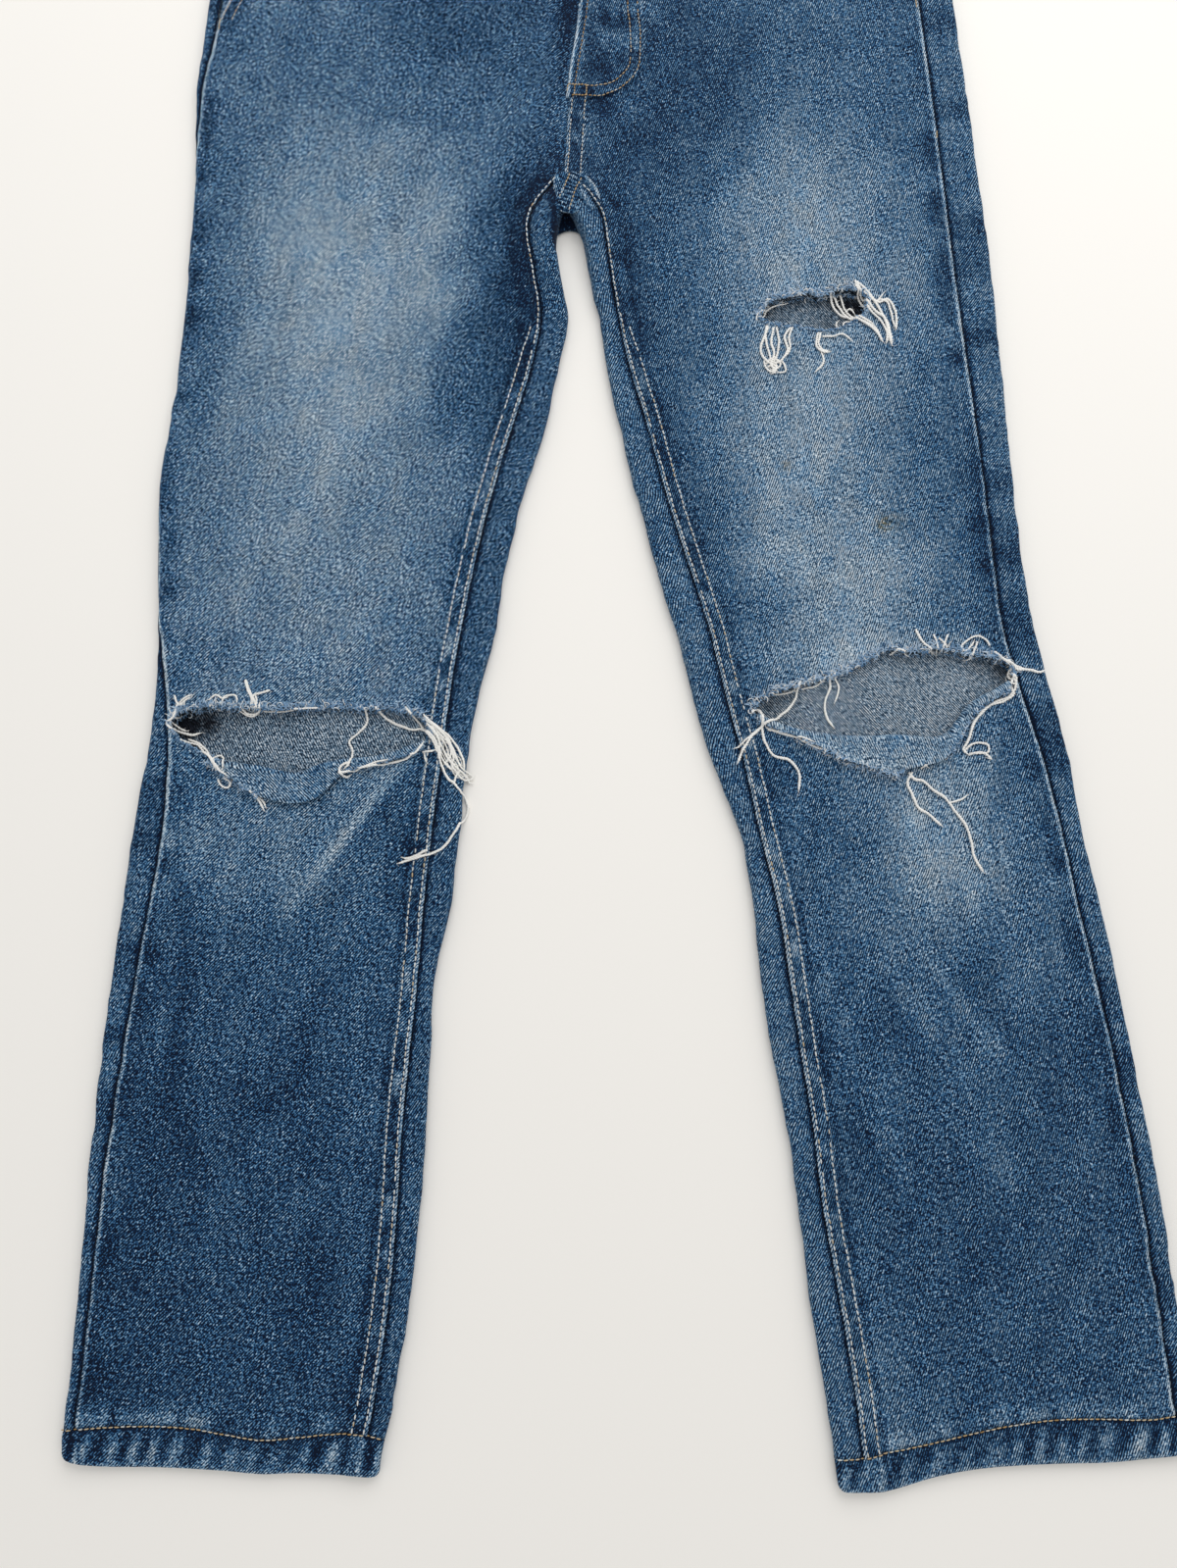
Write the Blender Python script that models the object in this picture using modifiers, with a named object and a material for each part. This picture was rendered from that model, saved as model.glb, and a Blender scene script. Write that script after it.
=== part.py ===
"""Ripped denim jeans, laid flat on a table with the front up.

Lengths in the tables are millimetres. x runs towards the wearer's left leg, y from the front
crotch point towards the waist and z up from the table. Right and left are the wearer's.
Each leg is a tube of two panels pressed flat: the back panel lies on the table and wraps up
round the side fold and the inner fold, and the front panel lies on top between the two seams.
"""

import math
from collections import namedtuple

import bmesh
import bpy
from mathutils import Matrix, Vector
from mathutils.bvhtree import BVHTree

MM = 0.001

# Cloth
DENIM = 1.4
DOUBLED_DENIM = 2.4
PATCH_CLOTH = 1.0
SEWN_GAP = 0.3
SIDE_SEAM_GAP = 0.7
LAID_GAP = 0.6
YARN_LOFT = 0.8

# The flattened tube: its height over a fold and between the folds
FOLD_HEIGHT = 6.6
MIDDLE_HEIGHT = 5.2
FOLD_REACH = 20.0
FOLD_RADIUS = FOLD_HEIGHT / 2
QUARTER_FOLD = FOLD_RADIUS * math.pi / 2
EDGE_TURN = 0.3

# Finished lengths
HEM_DEPTH = 15.0
HEM_TOP_Y = -716.0
HEM_PROUD = 0.4
FELLED_SEAM = 8.5
CROTCH_Y = 0.0
WAIST_SEAM_Y = 230.0
WAISTBAND_DEPTH = 38.0
FRONT_WAIST_DIP = 12.0
BACK_WAIST_RISE = 14.0
HIP_Y = 126.0

# Sections, from the hem up
OuterRow = namedtuple("OuterRow", "y fold seam")
InnerRow = namedtuple("InnerRow", "y seam fold")
CentreRow = namedtuple("CentreRow", "y x")

RIGHT_OUTER = [
    OuterRow(-735, -271.0, -265.0),
    OuterRow(-680, -269.0, -262.5),
    OuterRow(-600, -266.5, -258.5),
    OuterRow(-520, -263.0, -251.5),
    OuterRow(-460, -258.5, -244.5),
    OuterRow(-400, -253.5, -237.0),
    OuterRow(-350, -247.5, -236.0),
    OuterRow(-310, -244.5, -240.0),
    OuterRow(-270, -246.5, -246.5),
    OuterRow(-200, -250.0, -250.0),
    OuterRow(-120, -242.5, -242.5),
    OuterRow(-40, -240.0, -240.0),
    OuterRow(10, -240.0, -240.0),
    OuterRow(34, -240.5, -238.5),
    OuterRow(62, -241.0, -237.0),
    OuterRow(100, -238.5, -231.5),
    OuterRow(126, -236.0, -228.0),
    OuterRow(180, -226.0, -217.0),
    OuterRow(230, -210.0, -201.0),
    OuterRow(270, -199.0, -190.0),
]
LEFT_OUTER = [
    OuterRow(-735, 312.5, 304.5),
    OuterRow(-680, 309.0, 299.5),
    OuterRow(-600, 304.0, 293.5),
    OuterRow(-520, 293.5, 283.0),
    OuterRow(-440, 282.0, 269.5),
    OuterRow(-400, 274.5, 263.0),
    OuterRow(-360, 270.0, 255.5),
    OuterRow(-320, 262.0, 245.0),
    OuterRow(-280, 254.5, 236.5),
    OuterRow(-240, 250.0, 233.5),
    OuterRow(-180, 247.0, 229.5),
    OuterRow(-120, 244.5, 224.5),
    OuterRow(-60, 241.5, 219.5),
    OuterRow(0, 237.5, 215.5),
    OuterRow(62, 232.5, 211.0),
    OuterRow(126, 227.0, 205.5),
    OuterRow(180, 218.0, 199.0),
    OuterRow(230, 204.0, 190.0),
    OuterRow(270, 194.0, 183.0),
]
RIGHT_INNER = [
    InnerRow(-735, -117.0, -108.5),
    InnerRow(-680, -108.5, -98.0),
    InnerRow(-620, -102.5, -90.5),
    InnerRow(-560, -100.0, -86.5),
    InnerRow(-520, -97.0, -85.5),
    InnerRow(-480, -93.5, -84.0),
    InnerRow(-440, -91.0, -76.0),
    InnerRow(-400, -87.5, -72.0),
    InnerRow(-360, -83.0, -68.0),
    InnerRow(-320, -78.5, -62.0),
    InnerRow(-280, -72.5, -52.0),
    InnerRow(-240, -65.0, -47.0),
    InnerRow(-200, -56.0, -37.0),
    InnerRow(-160, -45.0, -25.5),
    InnerRow(-120, -33.5, -17.0),
    InnerRow(-90, -29.0, -12.0),
    InnerRow(-60, -33.0, -16.5),
    InnerRow(-36, -36.5, -19.0),
    InnerRow(-24, -35.5, -17.0),
    InnerRow(-12, -29.0, -14.2),
    InnerRow(0, -18.5, -14.2),
]
LEFT_INNER = [
    InnerRow(-735, 143.5, 129.0),
    InnerRow(-680, 137.5, 121.5),
    InnerRow(-640, 131.0, 115.0),
    InnerRow(-600, 124.5, 111.5),
    InnerRow(-560, 120.5, 106.5),
    InnerRow(-520, 115.0, 99.5),
    InnerRow(-480, 110.0, 94.5),
    InnerRow(-440, 104.5, 91.0),
    InnerRow(-400, 95.5, 84.0),
    InnerRow(-360, 87.5, 69.5),
    InnerRow(-320, 77.5, 59.0),
    InnerRow(-280, 68.5, 48.5),
    InnerRow(-240, 56.5, 37.5),
    InnerRow(-200, 45.0, 27.5),
    InnerRow(-160, 35.0, 18.5),
    InnerRow(-120, 24.0, 10.5),
    InnerRow(-90, 18.0, 6.0),
    InnerRow(-60, 13.5, 0.0),
    InnerRow(-36, 10.5, -4.0),
    InnerRow(-24, 8.5, -9.0),
    InnerRow(-12, 1.5, -13.8),
    InnerRow(0, -9.5, -13.8),
]
CENTRE = [
    CentreRow(0, -14.0),
    CentreRow(62, -10.5),
    CentreRow(122, -3.0),
    CentreRow(230, 2.0),
    CentreRow(270, 3.0),
]

# One record for each leg. inward is the direction in x from the side fold to the middle.
Leg = namedtuple("Leg", "name inward outer inner hem_tilt pocket_y")
RIGHT = Leg("right", 1, RIGHT_OUTER, RIGHT_INNER, -0.045, 106.0)
LEFT = Leg("left", -1, LEFT_OUTER, LEFT_INNER, 0.105, 122.0)

# Front pocket mouths: how far in from the side seam they are at the waistband
MOUTH_SLANT = 50.0
FACING_OVERLAP = 14.0

# Soft ridges pressed into the front panels
Ridge = namedtuple("Ridge", "x0 y0 x1 y1 height width")
RIDGES = [
    Ridge(-104, -380, -139, -428, 3.2, 13),
    Ridge(-128, -402, -172, -447, 2.4, 15),
    Ridge(-222, -441, -224, -540, 1.8, 13),
    Ridge(224, -352, 216, -392, 1.8, 12),
    Ridge(165, -392, 220, -462, 2.6, 15),
    Ridge(222, -470, 250, -583, 2.0, 16),
]

# Tears in the front panels, from side to side, and the turned-out lips below the knee tears
TearStation = namedtuple("TearStation", "x top low")
LipStation = namedtuple("LipStation", "x fold edge")

RIGHT_KNEE_TEAR = [
    TearStation(-231, -337, -341),
    TearStation(-224, -330, -350),
    TearStation(-206, -329, -359),
    TearStation(-184, -330, -366),
    TearStation(-162, -329.5, -369),
    TearStation(-148, -329, -361),
    TearStation(-126, -330, -358),
    TearStation(-106, -331.5, -354),
    TearStation(-94, -338, -349),
]
LEFT_KNEE_TEAR = [
    TearStation(94, -328, -333),
    TearStation(102, -322, -338),
    TearStation(120, -316, -343),
    TearStation(146, -308.5, -346.5),
    TearStation(168, -296.5, -346),
    TearStation(188, -298, -347),
    TearStation(199, -297, -347),
    TearStation(213, -299.5, -330),
    TearStation(229, -301, -320),
    TearStation(237.5, -306, -314),
]
LEFT_THIGH_TEAR = [
    TearStation(103, -88, -91),
    TearStation(110, -80, -95),
    TearStation(122, -78, -96.5),
    TearStation(133, -76, -98),
    TearStation(148, -75, -98),
    TearStation(158, -75.5, -92),
    TearStation(165, -80, -85),
]
RIGHT_KNEE_LIP = [
    LipStation(-208, -360, -365),
    LipStation(-196, -364, -373),
    LipStation(-184, -368, -380),
    LipStation(-162, -371, -383),
    LipStation(-150, -364, -380),
    LipStation(-134, -361.5, -367),
]
LEFT_KNEE_LIP = [
    LipStation(104, -341, -345),
    LipStation(120, -345.5, -352),
    LipStation(146, -349, -361),
    LipStation(172, -349, -369),
    LipStation(188, -349.5, -365),
    LipStation(202, -348, -359),
]

# The stretch of each front panel that its loose yarns lie over
RIGHT_KNEE_FRAY = [
    TearStation(-130, -364, -384),
    TearStation(-112, -360, -380),
    TearStation(-95, -356, -372),
]
LEFT_KNEE_FRAY = [
    TearStation(104, -350, -390),
    TearStation(130, -360, -384),
    TearStation(156, -370, -390),
    TearStation(182, -373, -420),
    TearStation(204, -364, -436),
]
LEFT_THIGH_FRAY = [
    TearStation(102, -97, -124),
    TearStation(125, -102, -124),
    TearStation(150, -104, -116),
    TearStation(172, -94, -112),
    TearStation(188, -80, -106),
]

# Fly: distance from the centre-front line to the J stitching that closes it
FlyRow = namedtuple("FlyRow", "y reach")
FLY = [
    FlyRow(57, 16),
    FlyRow(60, 26),
    FlyRow(65, 34),
    FlyRow(72, 40),
    FlyRow(88, 41),
    FlyRow(122, 38),
    FlyRow(175, 36),
    FlyRow(WAIST_SEAM_Y - SEWN_GAP, 36),
]
FLY_OVERLAP = 3.0

# Waistband and its button
BAND_HEIGHT = 6.2
BAND_LAP_RISE = 2.9
BAND_EXTENSION = 24.0
BAND_END = 4.0
BUTTON_RADIUS = 8.5
BUTTON_HEIGHT = 3.2
BUTTON_X = 11.0

SHIN_ROWS = 21
SHIN_TOP_Y = -60.0
CROTCH_ROWS = [-44.0, -30.0, -20.0, -12.0, -5.0, CROTCH_Y]
HIP_ROWS = [4.0, 30.0, 56.0, 84.0, 106.0, 122.0, 150.0, 178.0, 205.0, WAIST_SEAM_Y]

DENIM_COLOUR = (0.07, 0.13, 0.21, 1)
FADED_COLOUR = (0.14, 0.20, 0.28, 1)
REVERSE_COLOUR = (0.19, 0.26, 0.35, 1)
YARN_COLOUR = (0.83, 0.79, 0.72, 1)
BUTTON_COLOUR = (0.55, 0.34, 0.20, 1)


def row_levels():
    """Heights of the sections that all panels of a leg share, from the hem to the waist."""
    step = (SHIN_TOP_Y - HEM_TOP_Y) / SHIN_ROWS
    shin = [HEM_TOP_Y + step * i for i in range(SHIN_ROWS + 1)]
    return shin + CROTCH_ROWS + HIP_ROWS


def at(rows, column, y):
    """Value of one table column at height y, on a smooth curve through the rows."""
    values = [(row.y, getattr(row, column)) for row in rows]
    slopes = []
    for i in range(len(values)):
        before = values[max(i - 1, 0)]
        after = values[min(i + 1, len(values) - 1)]
        slopes.append((after[1] - before[1]) / (after[0] - before[0]))
    for i in range(len(values) - 1):
        y0, v0 = values[i]
        y1, v1 = values[i + 1]
        if y <= y1 or i == len(values) - 2:
            span = y1 - y0
            t = (y - y0) / span
            start = v0 * (2 * t**3 - 3 * t**2 + 1) + slopes[i] * span * (t**3 - 2 * t**2 + t)
            end = v1 * (3 * t**2 - 2 * t**3) + slopes[i + 1] * span * (t**3 - t**2)
            return start + end


def ease(t):
    t = min(max(t, 0.0), 1.0)
    return t * t * (3 - 2 * t)


def ridge_height(x, y):
    """Height that the pressed-in ridges add at a point."""
    total = 0.0
    for ridge in RIDGES:
        along = Vector((ridge.x1 - ridge.x0, ridge.y1 - ridge.y0))
        offset = Vector((x - ridge.x0, y - ridge.y0))
        t = min(max(offset.dot(along) / along.length_squared, 0.0), 1.0)
        distance = (offset - along * t).length
        total += ridge.height * math.exp(-((distance / ridge.width) ** 2))
    return total


def top_height(leg, x, y):
    """Height of the upper layer's outer face, highest beside the folds."""
    nearest = abs(x - at(leg.outer, "fold", y))
    inner_fold = at(leg.inner, "fold", min(y, CROTCH_Y))
    nearest = min(nearest, math.hypot(x - inner_fold, max(y - CROTCH_Y, 0.0)))
    swell = (FOLD_HEIGHT - MIDDLE_HEIGHT) * math.exp(-((nearest / FOLD_REACH) ** 2))
    return MIDDLE_HEIGHT + swell + ridge_height(x, y)


def round_fold(fold_x, seam_x):
    """Distance round the fold, from its outermost line, of a seam that shows at seam_x."""
    depth = abs(seam_x - fold_x)
    if depth < FOLD_RADIUS:
        return FOLD_RADIUS * math.acos(1 - depth / FOLD_RADIUS)
    return QUARTER_FOLD + depth - FOLD_RADIUS


def fold_point(leg, fold_x, inward, y, s):
    """(x, z) on a leg's section, s round from the fold's outermost line, up when positive."""
    if abs(s) < QUARTER_FOLD:
        turn = s / FOLD_RADIUS
        return fold_x + inward * FOLD_RADIUS * (1 - math.cos(turn)), FOLD_RADIUS * (1 + math.sin(turn))
    x = fold_x + inward * (FOLD_RADIUS + abs(s) - QUARTER_FOLD)
    return x, top_height(leg, x, y) if s > 0 else 0.0


def finished_y(leg, x, y, waist_move):
    """Height on the garment after the hem's slant and the waist's curve."""
    hem_share = ease((HEM_TOP_Y + 110 - y) / 100)
    hem_middle = (at(leg.outer, "fold", HEM_TOP_Y) + at(leg.inner, "fold", HEM_TOP_Y)) / 2
    side = at(leg.outer, "fold", y)
    centre = at(CENTRE, "x", max(y, 0))
    off_centre = min(abs((x - centre) / (side - centre)), 1.0)
    waist_share = ease((y - HIP_Y) / (WAIST_SEAM_Y - HIP_Y))
    slant = hem_share * leg.hem_tilt * (x - hem_middle)
    return y + slant + waist_share * waist_move * math.cos(off_centre * math.pi / 2)


def waist_shift(z):
    """The front's dip for cloth that shows on top, and the back's rise for cloth beneath."""
    return BACK_WAIST_RISE if z < FOLD_RADIUS else -FRONT_WAIST_DIP


def mouth_x(leg, y):
    """x of the pocket mouth's edge, which is the side seam below the pocket."""
    seam = at(leg.outer, "seam", y)
    rise = max((y - leg.pocket_y) / (WAIST_SEAM_Y - leg.pocket_y), 0.0)
    return seam + leg.inward * MOUTH_SLANT * rise**1.2


def front_row(leg, y):
    """Points across a front panel, from the side seam to the inseam or centre front."""
    fold = at(leg.outer, "fold", y)
    start = round_fold(fold, mouth_x(leg, y)) + SIDE_SEAM_GAP / 2
    row = [fold_point(leg, fold, leg.inward, y, start + s) for s in (0.0, EDGE_TURN, 2.8)]
    if y <= CROTCH_Y:
        inner_fold = at(leg.inner, "fold", y)
        end = round_fold(inner_fold, at(leg.inner, "seam", y)) + SEWN_GAP / 2
        seam_part = [
            fold_point(leg, inner_fold, -leg.inward, y, end + s) for s in (FELLED_SEAM, 0.0)
        ]
    else:
        centre = at(CENTRE, "x", y) - leg.inward * SEWN_GAP / 2
        seam_xs = (centre - leg.inward * FELLED_SEAM, centre)
        seam_part = [(x, top_height(leg, x, y)) for x in seam_xs]
    first, last = row[-1][0], seam_part[0][0]
    middle_columns = 7
    for i in range(1, middle_columns):
        x = first + (last - first) * i / middle_columns
        row.append((x, top_height(leg, x, y)))
    row += seam_part
    return [Vector((x, finished_y(leg, x, y, -FRONT_WAIST_DIP), z)) for x, z in row]


def back_row(leg, y):
    """Points of a back panel: over the side fold, along the table and up the inner fold."""
    fold = at(leg.outer, "fold", y)
    start = round_fold(fold, at(leg.outer, "seam", y)) - SIDE_SEAM_GAP / 2
    if start > QUARTER_FOLD:
        stops = [start] + [QUARTER_FOLD * part for part in (1, 0.5, 0, -0.5, -1)]
    else:
        low = start - EDGE_TURN
        stops = [start] + [low + (-QUARTER_FOLD - low) * i / 4 for i in range(5)]
    row = [fold_point(leg, fold, leg.inward, y, s) for s in stops]
    if y <= CROTCH_Y:
        inner_fold = at(leg.inner, "fold", y)
        end = round_fold(inner_fold, at(leg.inner, "seam", y)) - SEWN_GAP / 2
        stops = [QUARTER_FOLD * part for part in (-1, -0.5, 0, 0.5, 1)] + [end]
        wrap = [fold_point(leg, inner_fold, -leg.inward, y, s) for s in stops]
    else:
        wrap = [(at(CENTRE, "x", y) - leg.inward * SEWN_GAP / 2, 0.0)]
    first, last = row[-1][0], wrap[0][0]
    row += [(first + (last - first) * part, 0.0) for part in (0.35, 0.7)]
    row += wrap
    points = [Vector((x, finished_y(leg, x, y, waist_shift(z)), z)) for x, z in row]
    full_row = 14
    return points + [None] * (full_row - len(points))


def hem_row(leg, y):
    """Closed ring round the turned-up hem: over the top, then back along the table."""
    ring = []
    for rows, inward in ((leg.outer, leg.inward), (leg.inner, -leg.inward)):
        fold = at(rows, "fold", y) - inward * HEM_PROUD
        stops = [QUARTER_FOLD * part for part in (-1, -0.5, 0, 0.5, 1)]
        if inward != leg.inward:
            stops.reverse()
        arc = [fold_point(leg, fold, inward, y, s) for s in stops]
        if ring:
            first, last = ring[-1][0], arc[0][0]
            across = [first + (last - first) * i / 6 for i in range(1, 6)]
            ring += [(x, top_height(leg, x, y)) for x in across]
        ring += arc
    first, last = ring[-1][0], ring[0][0]
    ring += [(first + (last - first) * i / 3, 0.0) for i in (1, 2)]
    proud = [(x, z + HEM_PROUD * z / FOLD_HEIGHT) for x, z in ring]
    return [Vector((x, finished_y(leg, x, y, 0), z)) for x, z in proud]


def band_height(x):
    """Outer face of the waistband's front: its left end rises over its right end."""
    return BAND_HEIGHT + BAND_LAP_RISE * ease((at(CENTRE, "x", WAIST_SEAM_Y) + 75 - x) / 40)


def band_row(y):
    """The waistband's strip at height y: under the lap, round by the right, back and left."""
    right = at(RIGHT_OUTER, "fold", y)
    left = at(LEFT_OUTER, "fold", y)
    centre = at(CENTRE, "x", y)
    radius = BAND_HEIGHT / 2
    turns = [math.pi / 2 * part for part in (1, 0.5, 0, -0.5, -1)]
    lower_end = centre + BAND_EXTENSION
    front_right = [lower_end + (right + radius - lower_end) * i / 7 for i in range(7)]
    points = [(x, BAND_HEIGHT) for x in front_right]
    for turn in turns:
        points.append((right + radius * (1 - math.cos(turn)), radius * (1 + math.sin(turn))))
    across = [right + radius + (left - right - 2 * radius) * i / 8 for i in range(1, 8)]
    points += [(x, 0.0) for x in across]
    for turn in reversed(turns):
        points.append((left - radius * (1 - math.cos(turn)), radius * (1 + math.sin(turn))))
    upper_end = centre - BAND_END
    front_left = [left - radius + (upper_end - left + radius) * i / 9 for i in range(1, 10)]
    points += [(x, band_height(x)) for x in front_left]
    row = []
    for x, z in points:
        leg = RIGHT if x < centre else LEFT
        row.append(Vector((x, finished_y(leg, x, y, waist_shift(z)), z)))
    return row


def facing_row(leg, y):
    """Points across the pocket facing, which lies under the front panel's mouth edge."""
    seam = at(leg.outer, "seam", y) + leg.inward * SEWN_GAP
    inner = mouth_x(leg, y) + leg.inward * FACING_OVERLAP
    row = []
    for i in range(5):
        x = seam + (inner - seam) * i / 4
        z = top_height(leg, x, y) - DENIM - LAID_GAP
        row.append(Vector((x, finished_y(leg, x, y, -FRONT_WAIST_DIP), z)))
    return row


def fly_row(row):
    """Points across the fly lap at one row of its table."""
    centre = at(CENTRE, "x", row.y)
    start = centre - FLY_OVERLAP
    points = []
    for i in range(5):
        x = start + (centre + row.reach - start) * i / 4
        leg = LEFT if x > centre else RIGHT
        z = top_height(leg, x, row.y) + SEWN_GAP + DENIM
        points.append(Vector((x, finished_y(leg, x, row.y, -FRONT_WAIST_DIP), z)))
    return points


def clear_scene():
    for obj in list(bpy.data.objects):
        bpy.data.objects.remove(obj)
    for collection in list(bpy.data.collections):
        bpy.data.collections.remove(collection)


def new_collection(name):
    collection = bpy.data.collections.new(name)
    bpy.context.scene.collection.children.link(collection)
    return collection


def finish_object(name, mesh, collection, origin, colour, roughness=0.9, metallic=0.0):
    """Object for a mesh, with a material of its own, placed on the garment's origin."""
    obj = bpy.data.objects.new(name, mesh)
    collection.objects.link(obj)
    obj.parent = origin
    material = bpy.data.materials.new(name)
    material.use_nodes = True
    shader = material.node_tree.nodes["Principled BSDF"]
    shader.inputs["Base Color"].default_value = colour
    shader.inputs["Roughness"].default_value = roughness
    shader.inputs["Metallic"].default_value = metallic
    mesh.materials.append(material)
    return obj


def loft(name, rows, closed=False, flip=False):
    """Mesh through rows of points in millimetres. Cells with a missing corner are left out."""
    mesh = bpy.data.meshes.new(name)
    sheet = bmesh.new()
    grid = [[p and sheet.verts.new(p * MM) for p in row] for row in rows]
    columns = len(rows[0])
    for low, high in zip(grid, grid[1:]):
        for i in range(columns if closed else columns - 1):
            j = (i + 1) % columns
            corners = [low[i], low[j], high[j], high[i]]
            if None not in corners:
                sheet.faces.new(reversed(corners) if flip else corners)
    sheet.to_mesh(mesh)
    sheet.free()
    return mesh


def add_wall(obj, thickness):
    """Gives an outer face its cloth thickness, inwards."""
    wall = obj.modifiers.new("Wall", "SOLIDIFY")
    wall.thickness = thickness * MM
    wall.offset = -1


def cut_tear(obj, name, stations, cutters, origin):
    """Cuts a tear through a panel with a prism of its outline."""
    outline = [(s.x, s.top) for s in stations] + [(s.x, s.low) for s in reversed(stations)]
    mesh = bpy.data.meshes.new(name)
    prism = bmesh.new()
    base = prism.faces.new([prism.verts.new((x * MM, y * MM, -0.005)) for x, y in outline])
    raised = bmesh.ops.extrude_face_region(prism, geom=[base])["geom"]
    moved = [part for part in raised if isinstance(part, bmesh.types.BMVert)]
    bmesh.ops.translate(prism, verts=moved, vec=(0, 0, 0.03))
    bmesh.ops.recalc_face_normals(prism, faces=prism.faces)
    prism.to_mesh(mesh)
    prism.free()
    cutter = bpy.data.objects.new(name, mesh)
    cutters.objects.link(cutter)
    cutter.parent = origin
    cutter.hide_render = True
    cutter.display_type = "WIRE"
    cut = obj.modifiers.new(name, "BOOLEAN")
    cut.operation = "DIFFERENCE"
    cut.object = cutter


def surface_of(mesh):
    """Function that gives a panel's outer face height, in millimetres, at x and y."""
    tree = BVHTree.FromPolygons([v.co for v in mesh.vertices], [p.vertices for p in mesh.polygons])

    def height(x, y):
        hit = tree.ray_cast(Vector((x * MM, y * MM, 0.1)), Vector((0, 0, -1)))[0]
        return hit.z / MM

    return height


def laid_rows(stations, edges, height, lifts):
    """Rows of a small piece laid on a panel, between two edges of its table."""
    rows = []
    last = len(lifts) - 1
    for i, lift in enumerate(lifts):
        row = []
        for station in stations:
            start, end = (getattr(station, edge) for edge in edges)
            y = start + (end - start) * i / last
            row.append(Vector((station.x, y, height(station.x, y) + LAID_GAP + lift)))
        rows.append(row)
    return rows


def make_leg(leg, parts, origin):
    """Front panel, back panel, hem, inseam strip and pocket facing of one leg."""
    levels = row_levels()
    right_side = leg is RIGHT
    fronts = [front_row(leg, y) for y in levels]
    front_mesh = loft(f"front_panel_{leg.name}", fronts, flip=not right_side)
    front = finish_object(front_mesh.name, front_mesh, parts, origin, FADED_COLOUR)
    add_wall(front, DENIM)

    backs = [back_row(leg, y) for y in levels]
    back_mesh = loft(f"back_panel_{leg.name}", backs, flip=right_side)
    back = finish_object(back_mesh.name, back_mesh, parts, origin, DENIM_COLOUR)
    add_wall(back, DENIM)

    hem_top = HEM_TOP_Y - SEWN_GAP
    rings = [hem_row(leg, hem_top - HEM_DEPTH * part) for part in (1, 0.5, 0)]
    hem_mesh = loft(f"hem_{leg.name}", rings, closed=True, flip=not right_side)
    hem = finish_object(hem_mesh.name, hem_mesh, parts, origin, DENIM_COLOUR)
    add_wall(hem, 2.1)

    seam_rows = []
    for y, row in zip(levels, fronts):
        if y < CROTCH_Y:
            lift = Vector((0, 0, SEWN_GAP + PATCH_CLOTH))
            seam_rows.append([point + lift for point in row[-2:]])
    seam_mesh = loft(f"inseam_{leg.name}", seam_rows, flip=not right_side)
    seam = finish_object(seam_mesh.name, seam_mesh, parts, origin, DENIM_COLOUR)
    add_wall(seam, PATCH_CLOTH)

    facing_levels = [leg.pocket_y - 8] + [y for y in HIP_ROWS if y >= leg.pocket_y]
    facing_levels[-1] -= SEWN_GAP
    facings = [facing_row(leg, y) for y in facing_levels]
    facing_mesh = loft(f"pocket_facing_{leg.name}", facings, flip=not right_side)
    facing = finish_object(facing_mesh.name, facing_mesh, parts, origin, DENIM_COLOUR)
    add_wall(facing, PATCH_CLOTH)
    return front, fronts


def make_centre_seam(left_fronts, parts, origin):
    """Felled centre-front seam, on the left front panel from the crotch to the fly."""
    lift = Vector((0, 0, SEWN_GAP + PATCH_CLOTH))
    rows = []
    for y, row in zip(row_levels(), left_fronts):
        if CROTCH_Y < y < FLY[0].y:
            rows.append([point + lift for point in row[-2:]])
    mesh = loft("centre_front_seam", rows, flip=True)
    add_wall(finish_object(mesh.name, mesh, parts, origin, DENIM_COLOUR), PATCH_CLOTH)


def make_fly(parts, origin):
    """The left front's lap over the right, closed by its J-shaped stitching."""
    mesh = loft("fly_lap", [fly_row(row) for row in FLY])
    add_wall(finish_object(mesh.name, mesh, parts, origin, DENIM_COLOUR), DENIM)


def make_waistband(parts, origin):
    """Doubled band round the waist, its left end lapped over its right end."""
    low = WAIST_SEAM_Y + SEWN_GAP
    rows = [band_row(low + WAISTBAND_DEPTH * part) for part in (0, 0.5, 1)]
    mesh = loft("waistband", rows, flip=True)
    add_wall(finish_object(mesh.name, mesh, parts, origin, DENIM_COLOUR), DOUBLED_DENIM)


def make_button(parts, origin):
    """Metal shank button on the waistband's lap, a turned disc with a raised rim."""
    r, h = BUTTON_RADIUS, BUTTON_HEIGHT
    profile = [(0, h * 0.8), (r * 0.7, h * 0.8), (r * 0.82, h), (r * 0.95, h), (r, h * 0.8)]
    profile += [(r, h * 0.2), (r * 0.9, 0), (0, 0)]
    mesh = bpy.data.meshes.new("waist_button")
    points = [(x * MM, 0, z * MM) for x, z in profile]
    mesh.from_pydata(points, [(i, i + 1) for i in range(len(points) - 1)], [])
    button = finish_object("waist_button", mesh, parts, origin, BUTTON_COLOUR, 0.35, 1.0)
    turned = button.modifiers.new("Turned", "SCREW")
    turned.steps = 24
    turned.render_steps = 24
    turned.use_merge_vertices = True
    turned.merge_threshold = 0.0001
    turned.use_smooth_shade = True
    middle = WAIST_SEAM_Y - FRONT_WAIST_DIP + WAISTBAND_DEPTH / 2
    top = BAND_HEIGHT + BAND_LAP_RISE
    button.location = (BUTTON_X * MM, middle * MM, (top + SEWN_GAP) * MM)


def make_lip(name, stations, panel_mesh, parts, origin):
    """Torn edge turned out over the panel, its wrong side up."""
    lifts = (DENIM, DENIM + 0.8, DENIM)
    rows = laid_rows(stations, ("fold", "edge"), surface_of(panel_mesh), lifts)
    mesh = loft(name, rows, flip=True)
    add_wall(finish_object(name, mesh, parts, origin, REVERSE_COLOUR), DENIM)


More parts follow.
